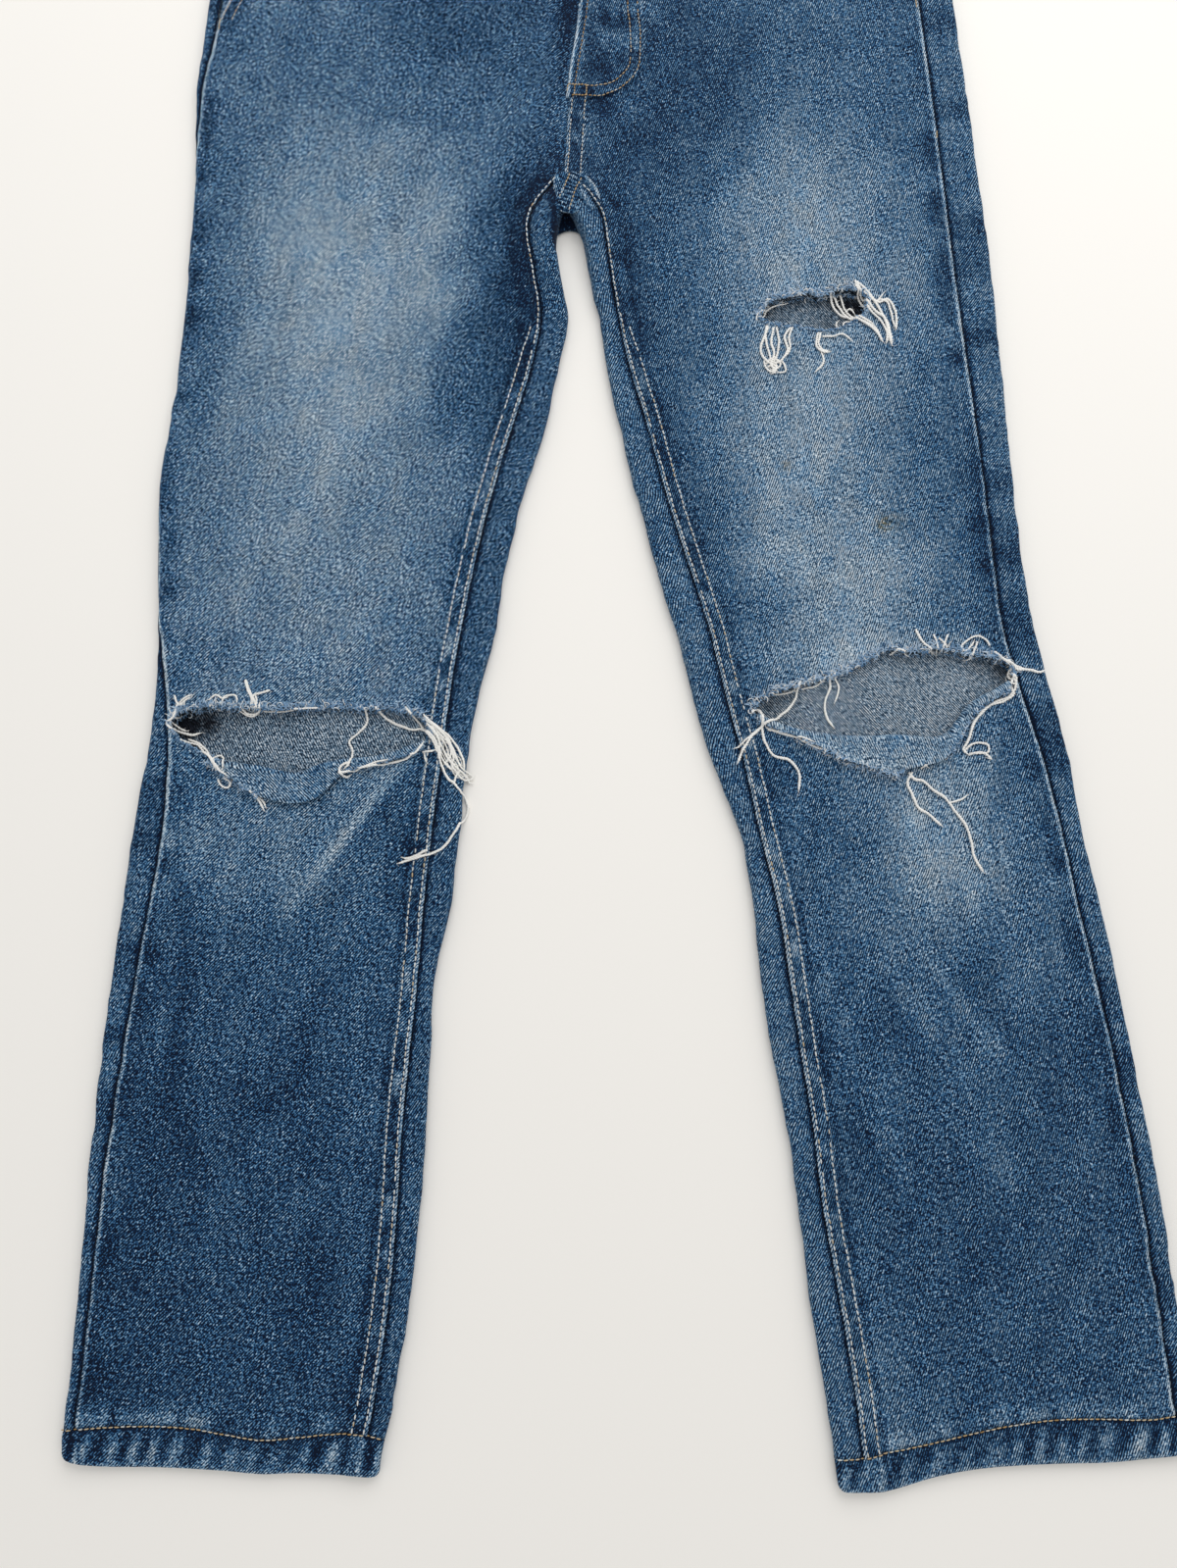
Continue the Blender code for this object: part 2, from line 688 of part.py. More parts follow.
def make_fray(name, stations, panel_mesh, parts, origin):
    """Reach of the loose yarns that lie over the panel below a tear."""
    lifts = (YARN_LOFT + PATCH_CLOTH,) * 3
    rows = laid_rows(stations, ("top", "low"), surface_of(panel_mesh), lifts)
    mesh = loft(name, rows, flip=True)
    add_wall(finish_object(name, mesh, parts, origin, YARN_COLOUR), PATCH_CLOTH)


def stand_on_origin(parts, origin):
    """Moves the garment so that the middle of its box is over the origin."""
    bpy.context.view_layer.update()
    graph = bpy.context.evaluated_depsgraph_get()
    corners = []
    for obj in parts.objects:
        if obj.type == "MESH":
            seen = obj.evaluated_get(graph)
            corners += [seen.matrix_world @ Vector(corner) for corner in seen.bound_box]
    for axis in (0, 1):
        values = [corner[axis] for corner in corners]
        origin.location[axis] = -(min(values) + max(values)) / 2


def main():
    clear_scene()
    parts = new_collection("ripped_jeans")
    cutters = new_collection("cutters")
    origin = bpy.data.objects.new("garment_origin", None)
    parts.objects.link(origin)

    front_right, _ = make_leg(RIGHT, parts, origin)
    front_left, left_fronts = make_leg(LEFT, parts, origin)
    make_centre_seam(left_fronts, parts, origin)
    make_fly(parts, origin)
    make_waistband(parts, origin)
    make_button(parts, origin)

    cut_tear(front_right, "knee_tear_right", RIGHT_KNEE_TEAR, cutters, origin)
    cut_tear(front_left, "knee_tear_left", LEFT_KNEE_TEAR, cutters, origin)
    cut_tear(front_left, "thigh_tear_left", LEFT_THIGH_TEAR, cutters, origin)

    make_lip("knee_lip_right", RIGHT_KNEE_LIP, front_right.data, parts, origin)
    make_lip("knee_lip_left", LEFT_KNEE_LIP, front_left.data, parts, origin)
    make_fray("fray_knee_right", RIGHT_KNEE_FRAY, front_right.data, parts, origin)
    make_fray("fray_knee_left", LEFT_KNEE_FRAY, front_left.data, parts, origin)
    make_fray("fray_thigh_left", LEFT_THIGH_FRAY, front_left.data, parts, origin)
    stand_on_origin(parts, origin)


main()
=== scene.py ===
"""Ripped denim jeans, laid flat on a table with the front up: the finished cloth.

Lengths in the tables are millimetres. x runs towards the wearer's left leg, y from the front
crotch point towards the waist and z up from the table. Right and left are the wearer's.
"""

import math
from collections import namedtuple

import bmesh
import bpy
import numpy as np
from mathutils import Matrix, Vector
from mathutils.bvhtree import BVHTree


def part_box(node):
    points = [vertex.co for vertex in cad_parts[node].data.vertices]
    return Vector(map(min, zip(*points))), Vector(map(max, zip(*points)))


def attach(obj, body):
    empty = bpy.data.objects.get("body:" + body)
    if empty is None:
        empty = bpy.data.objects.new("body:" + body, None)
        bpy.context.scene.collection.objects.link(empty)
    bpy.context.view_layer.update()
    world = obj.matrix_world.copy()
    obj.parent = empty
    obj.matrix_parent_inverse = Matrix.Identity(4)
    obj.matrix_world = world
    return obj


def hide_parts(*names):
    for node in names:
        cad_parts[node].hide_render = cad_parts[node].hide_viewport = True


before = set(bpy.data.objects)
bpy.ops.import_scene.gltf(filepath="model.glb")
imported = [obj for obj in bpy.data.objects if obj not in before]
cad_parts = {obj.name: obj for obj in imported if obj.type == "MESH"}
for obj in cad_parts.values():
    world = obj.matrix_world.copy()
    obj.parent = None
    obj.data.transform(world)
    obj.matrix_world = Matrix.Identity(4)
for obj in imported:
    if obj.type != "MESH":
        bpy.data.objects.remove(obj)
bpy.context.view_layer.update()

# --- The legs' cut -------------------------------------------------------------------------
# Each leg is a tube of two denim panels pressed flat: the back panel lies on the table and
# wraps up round the side fold and the inner fold, the front panel lies between the two seams.

MM = 0.001
BUTTON_SPOT = (11.0, 237.0)

button_low, button_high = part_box("waist_button")
SHIFT_X = (button_low[0] + button_high[0]) / 2 / MM - BUTTON_SPOT[0]
SHIFT_Y = (button_low[1] + button_high[1]) / 2 / MM - BUTTON_SPOT[1]

DENIM = 1.4
PATCH_CLOTH = 1.0
SEAM_GAP = 0.3
FOLD_HEIGHT = 6.6
MIDDLE_HEIGHT = 5.2
FOLD_REACH = 20.0
FOLD_RADIUS = FOLD_HEIGHT / 2
QUARTER_FOLD = FOLD_RADIUS * math.pi / 2
HEM_TOP_Y = -716.0
HEM_DEPTH = 15.0
WAIST_SEAM_Y = 230.0
WAISTBAND_DEPTH = 38.0
FRONT_WAIST_DIP = 12.0
BACK_WAIST_RISE = 14.0
HIP_Y = 126.0
FELLED_SEAM = 8.5
MOUTH_SLANT = 50.0


def table(kind, *rows):
    """Rows of one kind, each from its plain values."""
    return [kind(*row) for row in rows]


OuterRow = namedtuple("OuterRow", "y fold seam")
InnerRow = namedtuple("InnerRow", "y seam fold")
CentreRow = namedtuple("CentreRow", "y x")

RIGHT_OUTER = table(
    OuterRow,
    (-735, -271, -265), (-680, -269, -262.5), (-600, -266.5, -258.5), (-520, -263, -251.5),
    (-460, -258.5, -244.5), (-400, -253.5, -237), (-350, -247.5, -236), (-310, -244.5, -240),
    (-270, -246.5, -246.5), (-200, -250, -250), (-120, -242.5, -242.5), (-40, -240, -240),
    (10, -240, -240), (34, -240.5, -238.5), (62, -241, -237), (100, -238.5, -231.5), (126, -236, -228),
    (180, -226, -217), (230, -210, -201), (270, -199, -190),
)
LEFT_OUTER = table(
    OuterRow,
    (-735, 312.5, 304.5), (-680, 309, 299.5), (-600, 304, 293.5), (-520, 293.5, 283),
    (-440, 282, 269.5), (-400, 274.5, 263), (-360, 270, 255.5), (-320, 262, 245), (-280, 254.5, 236.5),
    (-240, 250, 233.5), (-180, 247, 229.5), (-120, 244.5, 224.5), (-60, 241.5, 219.5),
    (0, 237.5, 215.5), (62, 232.5, 211), (126, 227, 205.5), (180, 218, 199), (230, 204, 190),
    (270, 194, 183),
)
RIGHT_INNER = table(
    InnerRow,
    (-735, -117, -108.5), (-680, -108.5, -98), (-620, -102.5, -90.5), (-560, -100, -86.5),
    (-520, -97, -85.5), (-480, -93.5, -84), (-440, -91, -76), (-400, -87.5, -72), (-360, -83, -68),
    (-320, -78.5, -62), (-280, -72.5, -52), (-240, -65, -47), (-200, -56, -37), (-160, -45, -25.5),
    (-120, -33.5, -17), (-90, -29, -12), (-60, -33, -16.5), (-36, -36.5, -19), (-24, -35.5, -17),
    (-12, -29, -14.2), (0, -18.5, -14.2),
)
LEFT_INNER = table(
    InnerRow,
    (-735, 143.5, 129), (-680, 137.5, 121.5), (-640, 131, 115), (-600, 124.5, 111.5),
    (-560, 120.5, 106.5), (-520, 115, 99.5), (-480, 110, 94.5), (-440, 104.5, 91), (-400, 95.5, 84),
    (-360, 87.5, 69.5), (-320, 77.5, 59), (-280, 68.5, 48.5), (-240, 56.5, 37.5), (-200, 45, 27.5),
    (-160, 35, 18.5), (-120, 24, 10.5), (-90, 18, 6), (-60, 13.5, 0), (-36, 10.5, -4), (-24, 8.5, -9),
    (-12, 1.5, -13.8), (0, -9.5, -13.8),
)
CENTRE = table(
    CentreRow,
    (0, -14), (62, -10.5), (122, -3), (230, 2), (270, 3),
)

# Finished heights of the hem's stitching and of its lower edge, across each leg
HemStop = namedtuple("HemStop", "x stitch edge")
RIGHT_HEM = table(
    HemStop,
    (-273, -709.3, -720), (-266, -709, -724.5), (-249, -708.2, -726.6), (-224, -707.8, -727),
    (-204, -709, -727.8), (-185, -712, -729), (-168, -714.4, -730.4), (-153, -713.4, -730),
    (-134, -711.7, -730.3), (-119, -711, -731), (-112, -712, -731.5), (-105, -713.5, -730),
)
LEFT_HEM = table(
    HemStop,
    (126, -723.2, -736.5), (131, -723.2, -738.5), (142, -722.6, -738.8), (152, -720.4, -738.4),
    (161, -718.9, -736.4), (177, -715.9, -732), (197, -711.5, -728.4), (216, -707.8, -726.6),
    (242, -704.6, -725.4), (268, -704.2, -724.8), (287, -704.6, -723), (303, -702.7, -721.2),
    (313, -702, -719),
)

# grain is the angle of the warp from the garment's y, clockwise seen from above
Leg = namedtuple("Leg", "name inward outer inner hem pocket_y grain")
RIGHT = Leg("right", 1, RIGHT_OUTER, RIGHT_INNER, RIGHT_HEM, 106.0, math.radians(10.4))
LEFT = Leg("left", -1, LEFT_OUTER, LEFT_INNER, LEFT_HEM, 122.0, math.radians(-12.6))


def along(rows, column, ys, key="y"):
    """Values of one table column at heights ys, on a smooth curve through the rows."""
    y = np.array([getattr(row, key) for row in rows], float)
    v = np.array([getattr(row, column) for row in rows], float)
    ys = np.clip(ys, y[0], y[-1])
    before = np.maximum(np.arange(len(y)) - 1, 0)
    after = np.minimum(np.arange(len(y)) + 1, len(y) - 1)
    slope = (v[after] - v[before]) / (y[after] - y[before])
    i = np.clip(np.searchsorted(y, ys) - 1, 0, len(y) - 2)
    span = y[i + 1] - y[i]
    t = (ys - y[i]) / span
    start = v[i] * (2 * t**3 - 3 * t**2 + 1) + slope[i] * span * (t**3 - 2 * t**2 + t)
    return start + v[i + 1] * (3 * t**2 - 2 * t**3) + slope[i + 1] * span * (t**3 - t**2)


def ease(t):
    t = np.clip(t, 0.0, 1.0)
    return t * t * (3 - 2 * t)


def bell(distance, width):
    return np.exp(-((distance / width) ** 2))


def soft_noise(x, y, size, seed):
    """Smooth unevenness between -1 and 1, in lumps of about size millimetres."""
    cells = 128
    lattice = np.random.default_rng(seed).uniform(-1, 1, (cells, cells))
    gx, gy = x / size, y / size
    i, j = np.floor(gx).astype(int), np.floor(gy).astype(int)
    a, b = ease(gx - i), ease(gy - j)
    low = lattice[j % cells, i % cells] * (1 - a) + lattice[j % cells, (i + 1) % cells] * a
    k = (j + 1) % cells
    high = lattice[k, i % cells] * (1 - a) + lattice[k, (i + 1) % cells] * a
    return low * (1 - b) + high * b


def from_stroke(x, y, stroke):
    """Distance from a short straight mark, and how far along it from 0 to 1."""
    ax, ay = stroke.x1 - stroke.x0, stroke.y1 - stroke.y0
    t = np.clip(((x - stroke.x0) * ax + (y - stroke.y0) * ay) / (ax * ax + ay * ay), 0, 1)
    return np.hypot(x - stroke.x0 - ax * t, y - stroke.y0 - ay * t), t


# Soft ridges and troughs pressed into the fronts: ends, height and width. lean is how much
# steeper the ridge falls on the left of its line, or on the right if below 1
Crease = namedtuple("Crease", "x0 y0 x1 y1 height width lean", defaults=[1])
CREASES = table(
    Crease,
    (-102, -366, -141, -430, 3.4, 11, 2.6), (-128, -402, -172, -447, 2.2, 13, 1.8),
    (-222, -441, -224, -540, 1.8, 13), (224, -352, 216, -392, 1.8, 12),
    (165, -392, 220, -462, 2.6, 15, 1.4), (222, -470, 250, -583, 2, 16, 1.4),
)
SMALL_CREASES = table(
    Crease,
    (-96, -402, -112, -440, -1.2, 8), (-150, -440, -185, -475, -1, 9), (-236, -350, -224, -430, 0.9, 5),
    (-206, -452, -214, -560, -0.9, 8), (-198, -560, -184, -640, 0.5, 10),
    (-150, -480, -166, -560, -0.5, 12), (232, -330, 219, -380, 1.1, 4), (206, -380, 196, -440, -0.8, 8),
    (168, -420, 205, -500, -0.9, 9), (130, -430, 152, -520, 0.8, 9), (152, -520, 172, -640, 0.6, 9),
    (205, -520, 222, -600, -0.8, 10), (262, -520, 278, -620, -0.7, 8), (-60, 40, -120, 62, -0.8, 9),
    (-44, 14, -104, 24, 0.7, 8), (-50, -14, -112, -30, 0.5, 8), (30, 20, 92, 40, -0.7, 9),
    (24, -8, 84, 4, 0.7, 8), (40, -40, 92, -36, 0.5, 8), (-180, -262, -120, -250, 0.5, 10),
    (130, -262, 214, -250, 0.6, 11), (-215, -300, -150, -292, -0.5, 9), (104, -296, 150, -282, -0.6, 9),
)

# Places where the cloth beside a tear stands off the layer beneath
Lift = namedtuple("Lift", "x y height reach")
LIFTS = table(
    Lift,
    (-227, -334, 2.6, 15), (-180, -324, 1, 22), (-112, -327, 1.2, 18), (112, -312, 1.6, 18),
    (190, -291, 2.6, 30), (160, -72, 2.2, 13), (122, -73, 1.2, 14),
)


def relief(leg, x, y):
    """Height that creases, puckers and the hand of the cloth add to a front, at finished x and y."""
    total = 0.35 * soft_noise(x, y, 46, 11) + 0.16 * soft_noise(x, y, 17, 12)
    for crease in CREASES + SMALL_CREASES:
        distance, _ = from_stroke(x, y, crease)
        side = (crease.x1 - crease.x0) * (y - crease.y0) - (crease.y1 - crease.y0) * (x - crease.x0)
        lean = np.where(side > 0, math.sqrt(crease.lean), 1 / math.sqrt(crease.lean))
        total = total + crease.height * bell(distance * lean, crease.width)
    for lift in LIFTS:
        total = total + lift.height * bell(np.hypot(x - lift.x, y - lift.y), lift.reach)
    seam = along(leg.inner, "seam", np.minimum(y, 0.0))
    beside = bell(np.abs(x - seam), 16.0) * (y < 0)
    total = total + 0.42 * beside * soft_noise(x * 0.4, y, 11, 13)
    beside = bell(np.abs(x - along(leg.outer, "seam", y)), 12.0)
    return total + 0.32 * beside * soft_noise(x * 0.4, y, 9, 14)


def crotch_rise(x, y):
    """The bunched seams hold the cloth up round the crotch."""
    return 7.0 * bell(np.hypot(x + 13, (y + 30) * 0.62), 27.0)


def top_height(leg, x, y):
    """Height of the upper layer's outer face before its creases, highest beside the folds."""
    inner_fold = along(leg.inner, "fold", np.minimum(y, 0.0))
    nearest = np.abs(x - along(leg.outer, "fold", y))
    nearest = np.minimum(nearest, np.hypot(x - inner_fold, np.maximum(y, 0.0)))
    return MIDDLE_HEIGHT + (FOLD_HEIGHT - MIDDLE_HEIGHT) * bell(nearest, FOLD_REACH) + crotch_rise(x, y)


def edge_waver(rows, y):
    """Small wandering of a fold, on top of the table's curve."""
    seed = 21 + 2 * (rows in (LEFT_OUTER, LEFT_INNER)) + (rows in (RIGHT_INNER, LEFT_INNER))
    return 0.55 * soft_noise(y * 0, y, 15, seed) + 0.3 * soft_noise(y * 0, y, 6, seed + 10)


def round_fold(fold_x, seam_x):
    """Distance round the fold, from its outermost line, of a seam that shows at seam_x."""
    depth = np.abs(seam_x - fold_x)
    turn = np.arccos(1 - np.minimum(depth, FOLD_RADIUS) / FOLD_RADIUS)
    return FOLD_RADIUS * turn + np.maximum(depth - FOLD_RADIUS, 0)


def fold_points(leg, rows, inward, y, s):
    """x and z on a leg's section, s round from the fold's outermost line, up when positive."""
    turn = np.clip(s / FOLD_RADIUS, -math.pi / 2, math.pi / 2)
    past = np.maximum(np.abs(s) - QUARTER_FOLD, 0)
    waver = edge_waver(rows, y) * bell(past, 14.0)
    fold = along(rows, "fold", y)
    x = fold + inward * (FOLD_RADIUS * (1 - np.cos(turn)) + past) + inward * waver
    above = FOLD_RADIUS + (top_height(leg, x, y) - FOLD_RADIUS) * np.sin(turn)
    z = np.where(s > 0, above, np.where(past > 0, 0, FOLD_RADIUS * (1 + np.sin(turn))))
    return x, z


def finished_y(leg, x, y, waist_move):
    """Height on the garment after the hem's slant and the waist's curve."""
    hem_share = ease((HEM_TOP_Y + 110 - y) / 100)
    stitch_y = along(leg.hem, "stitch", x, "x")
    turn_up = stitch_y - along(leg.hem, "edge", x, "x")
    slant = hem_share * (stitch_y - HEM_TOP_Y)
    slant = slant - np.maximum(HEM_TOP_Y - y, 0) * (turn_up / HEM_DEPTH - 1)
    side = along(leg.outer, "fold", y)
    centre = along(CENTRE, "x", np.maximum(y, 0.0))
    off_centre = np.minimum(np.abs((x - centre) / (side - centre)), 1.0)
    waist_share = ease((y - HIP_Y) / (WAIST_SEAM_Y - HIP_Y))
    return y + slant + waist_share * waist_move * np.cos(off_centre * math.pi / 2) - 0.7 * crotch_rise(x, y)


def stops_between(start, end, near, near_count, middle_count):
    """Stops from start to end for each row, closer together beside both ends."""
    start, end = np.atleast_1d(start)[:, None], np.atleast_1d(end)[:, None]
    edge = near * np.arange(near_count)[None, :]
    share = np.linspace(0, 1, middle_count)[None, :]
    first, last = start + near * near_count, end - near * near_count
    return np.hstack([start + edge, first + (last - first) * share, end - edge[:, ::-1]])


def levels(low, high, step, fine_step=None, fine=()):
    """Heights of the rows of a panel, closer together inside the fine stretches."""
    ys = [low]
    while ys[-1] < high - step:
        close = any(start < ys[-1] < end for start, end in fine)
        ys.append(ys[-1] + (fine_step if close else step))
    return np.array(ys + [high])


def flat_cloth(leg, x, y):
    """Where a point of a front lies in the cut cloth: across and along the warp."""
    c, s = math.cos(leg.grain), math.sin(leg.grain)
    return np.stack([x * c - y * s, x * s + y * c], axis=-1)


def cloth_piece(name, x, y, z, cloth, wear_and_shade, materials, wall, keep=None, closed=False, flip=False):
    """Sheet of cloth through a grid of points, with its thickness, riding on the garment.

    cloth holds each point's place in the flat cloth and wear_and_shade its paleness, weave
    and darkening, with painted shade in some places.
    """
    rows, columns = x.shape
    number = np.arange(rows * columns).reshape(rows, columns)
    if closed:
        number = np.hstack([number, number[:, :1]])
    corners = np.stack([number[:-1, :-1], number[:-1, 1:], number[1:, 1:], number[1:, :-1]], axis=-1)
    faces = corners.reshape(-1, 4) if keep is None else corners[keep]
    if flip:
        faces = faces[:, ::-1]
    used, faces = np.unique(faces, return_inverse=True)
    faces = faces.reshape(-1, 4)
    points = np.stack([x + SHIFT_X, y + SHIFT_Y, z], axis=-1).reshape(-1, 3)[used] * MM
    mesh = bpy.data.meshes.new(name)
    mesh.from_pydata(points.tolist(), [], faces.tolist())
    placed = (cloth.reshape(-1, 2)[used] * MM)[faces.reshape(-1)]
    mesh.uv_layers.new(name="cloth").data.foreach_set("uv", placed.ravel())
    tint = np.ones((len(used), 4))
    tint[:, :3] = wear_and_shade.reshape(-1, 3)[used]
    mesh.attributes.new("wear_and_shade", "FLOAT_COLOR", "POINT").data.foreach_set("color", tint.ravel())
    mesh.shade_smooth()
    for material in materials:
        mesh.materials.append(material)
    piece = bpy.data.objects.new(name, mesh)
    bpy.context.scene.collection.objects.link(piece)
    shell = piece.modifiers.new("wall", "SOLIDIFY")
    shell.thickness = wall * MM
    shell.offset = -1
    shell.material_offset = len(materials) - 1
    shell.material_offset_rim = len(materials) - 1
    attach(piece, "root")
    return piece


def grid_area(x, y, z, closed=False):
    """Area of a grid's surface in square metres."""
    p = np.stack([x, y, z], axis=-1) * MM
    if closed:
        p = np.concatenate([p, p[:, :1]], axis=1)
    across, up = p[:-1, 1:] - p[:-1, :-1], p[1:, :-1] - p[:-1, :-1]
    return float(np.linalg.norm(np.cross(across, up), axis=-1).sum())


# --- Denim ---------------------------------------------------------------------------------
# A right-hand twill of indigo warp over undyed weft: fine diagonal ridges, dark between them
# and worn pale on top, stone-washed in blotches. Its wrong side shows mostly the pale weft.

TWILL_ANGLE = math.radians(33.6)
TWILL_PITCH = 1.2


def add_node(tree, kind, inputs=(), **settings):
    """One shader node. inputs maps a socket to a value or to the socket that feeds it."""
    node = tree.nodes.new("ShaderNode" + kind)
    for name, value in settings.items():
        setattr(node, name, value)
    for key, value in dict(inputs).items():
        if isinstance(value, bpy.types.NodeSocket):
            tree.links.new(value, node.inputs[key])
        else:
            node.inputs[key].default_value = value
    return node


def calculate(tree, operation, first, second=0.0, third=0.0, clamp=False):
    inputs = {0: first, 1: second, 2: third}
    return add_node(tree, "Math", inputs, operation=operation, use_clamp=clamp).outputs[0]


def noise(tree, vector, scale, detail=0.0, rough=0.5):
    """Noise from about -1 to 1."""
    inputs = {"Vector": vector, "Scale": scale, "Detail": detail, "Roughness": rough}
    value = add_node(tree, "TexNoise", inputs).outputs["Fac"]
    return calculate(tree, "MULTIPLY_ADD", value, 4.0, -2.0)


def stretched(tree, vector, x, y):
    return add_node(tree, "VectorMath", {0: vector, 1: (x, y, 1.0)}, operation="MULTIPLY").outputs[0]


def twill_group():
    """Shade and relief of the washed twill, from a point's place in the flat cloth."""
    tree = bpy.data.node_groups.new("washed_twill", "ShaderNodeTree")
    for name, kind in (("Cloth", "Vector"), ("Fade", "Float"), ("Weave", "Float")):
        tree.interface.new_socket(name, in_out="INPUT", socket_type="NodeSocket" + kind)
    for name in ("Shade", "Relief", "Greyness"):
        tree.interface.new_socket(name, in_out="OUTPUT", socket_type="NodeSocketFloat")
    given = tree.nodes.new("NodeGroupInput").outputs
    wanted = tree.nodes.new("NodeGroupOutput").inputs

    cloth = add_node(tree, "VectorMath", {0: given["Cloth"], "Scale": 1 / MM}, operation="SCALE").outputs[0]
    drift = add_node(tree, "TexNoise", {"Vector": cloth, "Scale": 0.035, "Detail": 1.0}).outputs["Color"]
    bend = {0: drift, 1: (3.0, 3.0, 0.0), 2: cloth}
    bent = add_node(tree, "VectorMath", bend, operation="MULTIPLY_ADD").outputs[0]
    turn = {"Vector": bent, "Angle": TWILL_ANGLE}
    ridges = add_node(tree, "VectorRotate", turn, rotation_type="Z_AXIS").outputs[0]
    across = add_node(tree, "SeparateXYZ", {0: ridges}).outputs["X"]

    slip = noise(tree, stretched(tree, ridges, 0.45, 0.2), 1.0)
    phase = calculate(tree, "MULTIPLY", across, 2 * math.pi / TWILL_PITCH)
    phase = calculate(tree, "MULTIPLY_ADD", slip, 0.6, phase)
    line = calculate(tree, "SINE", phase)
    tips = noise(tree, stretched(tree, ridges, 1.4, 0.45), 1.0, 1.0)
    slubs = noise(tree, stretched(tree, ridges, 0.75, 0.28), 1.0, 1.0)
    specks = noise(tree, cloth, 0.92, 1.0)
    worn = noise(tree, cloth, 0.12, 2.0)
    blotch = noise(tree, cloth, 0.05, 3.0)
    warp = noise(tree, stretched(tree, cloth, 0.5, 0.028), 1.0, 1.0)

    clear = calculate(tree, "MULTIPLY_ADD", worn, -0.5, 0.85, clamp=True)
    strength = calculate(tree, "MULTIPLY", clear, given["Weave"])
    loose = calculate(tree, "MULTIPLY_ADD", strength, -0.15, 0.66)
    pattern = calculate(tree, "MULTIPLY", line, 0.72)
    pattern = calculate(tree, "MULTIPLY", pattern, strength)
    pattern = calculate(tree, "MULTIPLY_ADD", tips, loose, pattern)
    pattern = calculate(tree, "MULTIPLY_ADD", slubs, 0.15, pattern)
    rough = calculate(tree, "MULTIPLY_ADD", strength, -0.72, 0.97)
    pattern = calculate(tree, "MULTIPLY_ADD", specks, rough, pattern)
    pattern = calculate(tree, "MULTIPLY_ADD", worn, 0.045, pattern)
    pattern = calculate(tree, "MULTIPLY_ADD", blotch, 0.03, pattern)
    pattern = calculate(tree, "MULTIPLY_ADD", warp, 0.06, pattern)
    tree.links.new(calculate(tree, "ADD", pattern, given["Fade"]), wanted["Shade"])
    rise = calculate(tree, "MULTIPLY_ADD", line, 0.5, 0.5)
    tree.links.new(calculate(tree, "MULTIPLY_ADD", tips, 0.3, rise), wanted["Relief"])
    patches = noise(tree, stretched(tree, cloth, 0.09, 0.045), 1.0, 2.0)
    grey = calculate(tree, "MULTIPLY_ADD", patches, 0.55, 0.5, clamp=True)
    faded = calculate(tree, "MULTIPLY_ADD", given["Fade"], 2.6, -0.85, clamp=True)
    tree.links.new(calculate(tree, "MULTIPLY", grey, faded), wanted["Greyness"])
    return tree


WASHED_TWILL = twill_group()


def colour_ramp(tree, position, stops):
    """Colour over stops of position, which may run past 1."""
    reach = stops[-1][0]
    ramp = add_node(tree, "ValToRGB", {"Fac": calculate(tree, "DIVIDE", position, reach)})
    points = ramp.color_ramp.elements
    while len(points) < len(stops):
        points.new(0.5)
    for point, (place, colour) in zip(points, stops):
        point.position = place / reach
        point.color = (*colour, 1)
    return ramp.outputs["Color"]


def new_material(name):
    """A material with its node tree and its shader."""
    material = bpy.data.materials.new(name)
    material.use_nodes = True
    return material, material.node_tree, material.node_tree.nodes["Principled BSDF"]


def denim_material(name, stops, worn_stops, fade_and_shade, stain_and_shade):
    """Twill whose shade runs over the colour stops, darkened where the third channel of wear_and_shade says
    so: stained on the fronts, painted shade on the wrong side inside the tears.

    fade_and_shade is its share and start, and stain_and_shade its colour, share and speckle.
    """
    stain_and_shade_colour, stain_and_shade_share, speckle = stain_and_shade
    material, tree, shader = new_material(name)
    wear_and_shade = add_node(tree, "Attribute", attribute_name="wear_and_shade", attribute_type="GEOMETRY")
    split = add_node(tree, "SeparateColor", {0: wear_and_shade.outputs["Color"]}).outputs
    place = add_node(tree, "UVMap", uv_map="cloth").outputs["UV"]
    fade_and_shade = calculate(tree, "MULTIPLY_ADD", split["Red"], *fade_and_shade)
    twill = add_node(tree, "Group", node_tree=WASHED_TWILL)
    for socket, value in (("Cloth", place), ("Fade", fade_and_shade), ("Weave", split["Green"])):
        tree.links.new(value, twill.inputs[socket])
    dusty = add_node(tree, "Mix", {"Factor": twill.outputs["Greyness"]}, data_type="RGBA")
    tree.links.new(colour_ramp(tree, twill.outputs["Shade"], stops), dusty.inputs["A"])
    tree.links.new(colour_ramp(tree, twill.outputs["Shade"], worn_stops), dusty.inputs["B"])
    spread = add_node(tree, "TexNoise", {"Vector": place, "Scale": 420.0, "Detail": 3.0}).outputs["Fac"]
    stain_and_shade_mask = calculate(tree, "MULTIPLY_ADD", spread, speckle, 0.45 - speckle / 2, clamp=True)
    stain_and_shade_mask = calculate(tree, "MULTIPLY", stain_and_shade_mask, split["Blue"])
    amount = calculate(tree, "MULTIPLY", stain_and_shade_mask, stain_and_shade_share, clamp=True)
    mix = add_node(tree, "Mix", {"Factor": amount}, data_type="RGBA", blend_type="MULTIPLY")
    tree.links.new(dusty.outputs["Result"], mix.inputs["A"])
    mix.inputs["B"].default_value = (*stain_and_shade_colour, 1)
    tree.links.new(mix.outputs["Result"], shader.inputs["Base Color"])
    bump = add_node(tree, "Bump", {"Strength": 0.55, "Distance": 0.0003, "Height": twill.outputs["Relief"]})
    tree.links.new(bump.outputs["Normal"], shader.inputs["Normal"])
    shader.inputs["Roughness"].default_value = 0.92
    shader.inputs["Specular IOR Level"].default_value = 0.12
    shader.inputs["Sheen Weight"].default_value = 0.03
    shader.inputs["Sheen Roughness"].default_value = 0.5
    return material


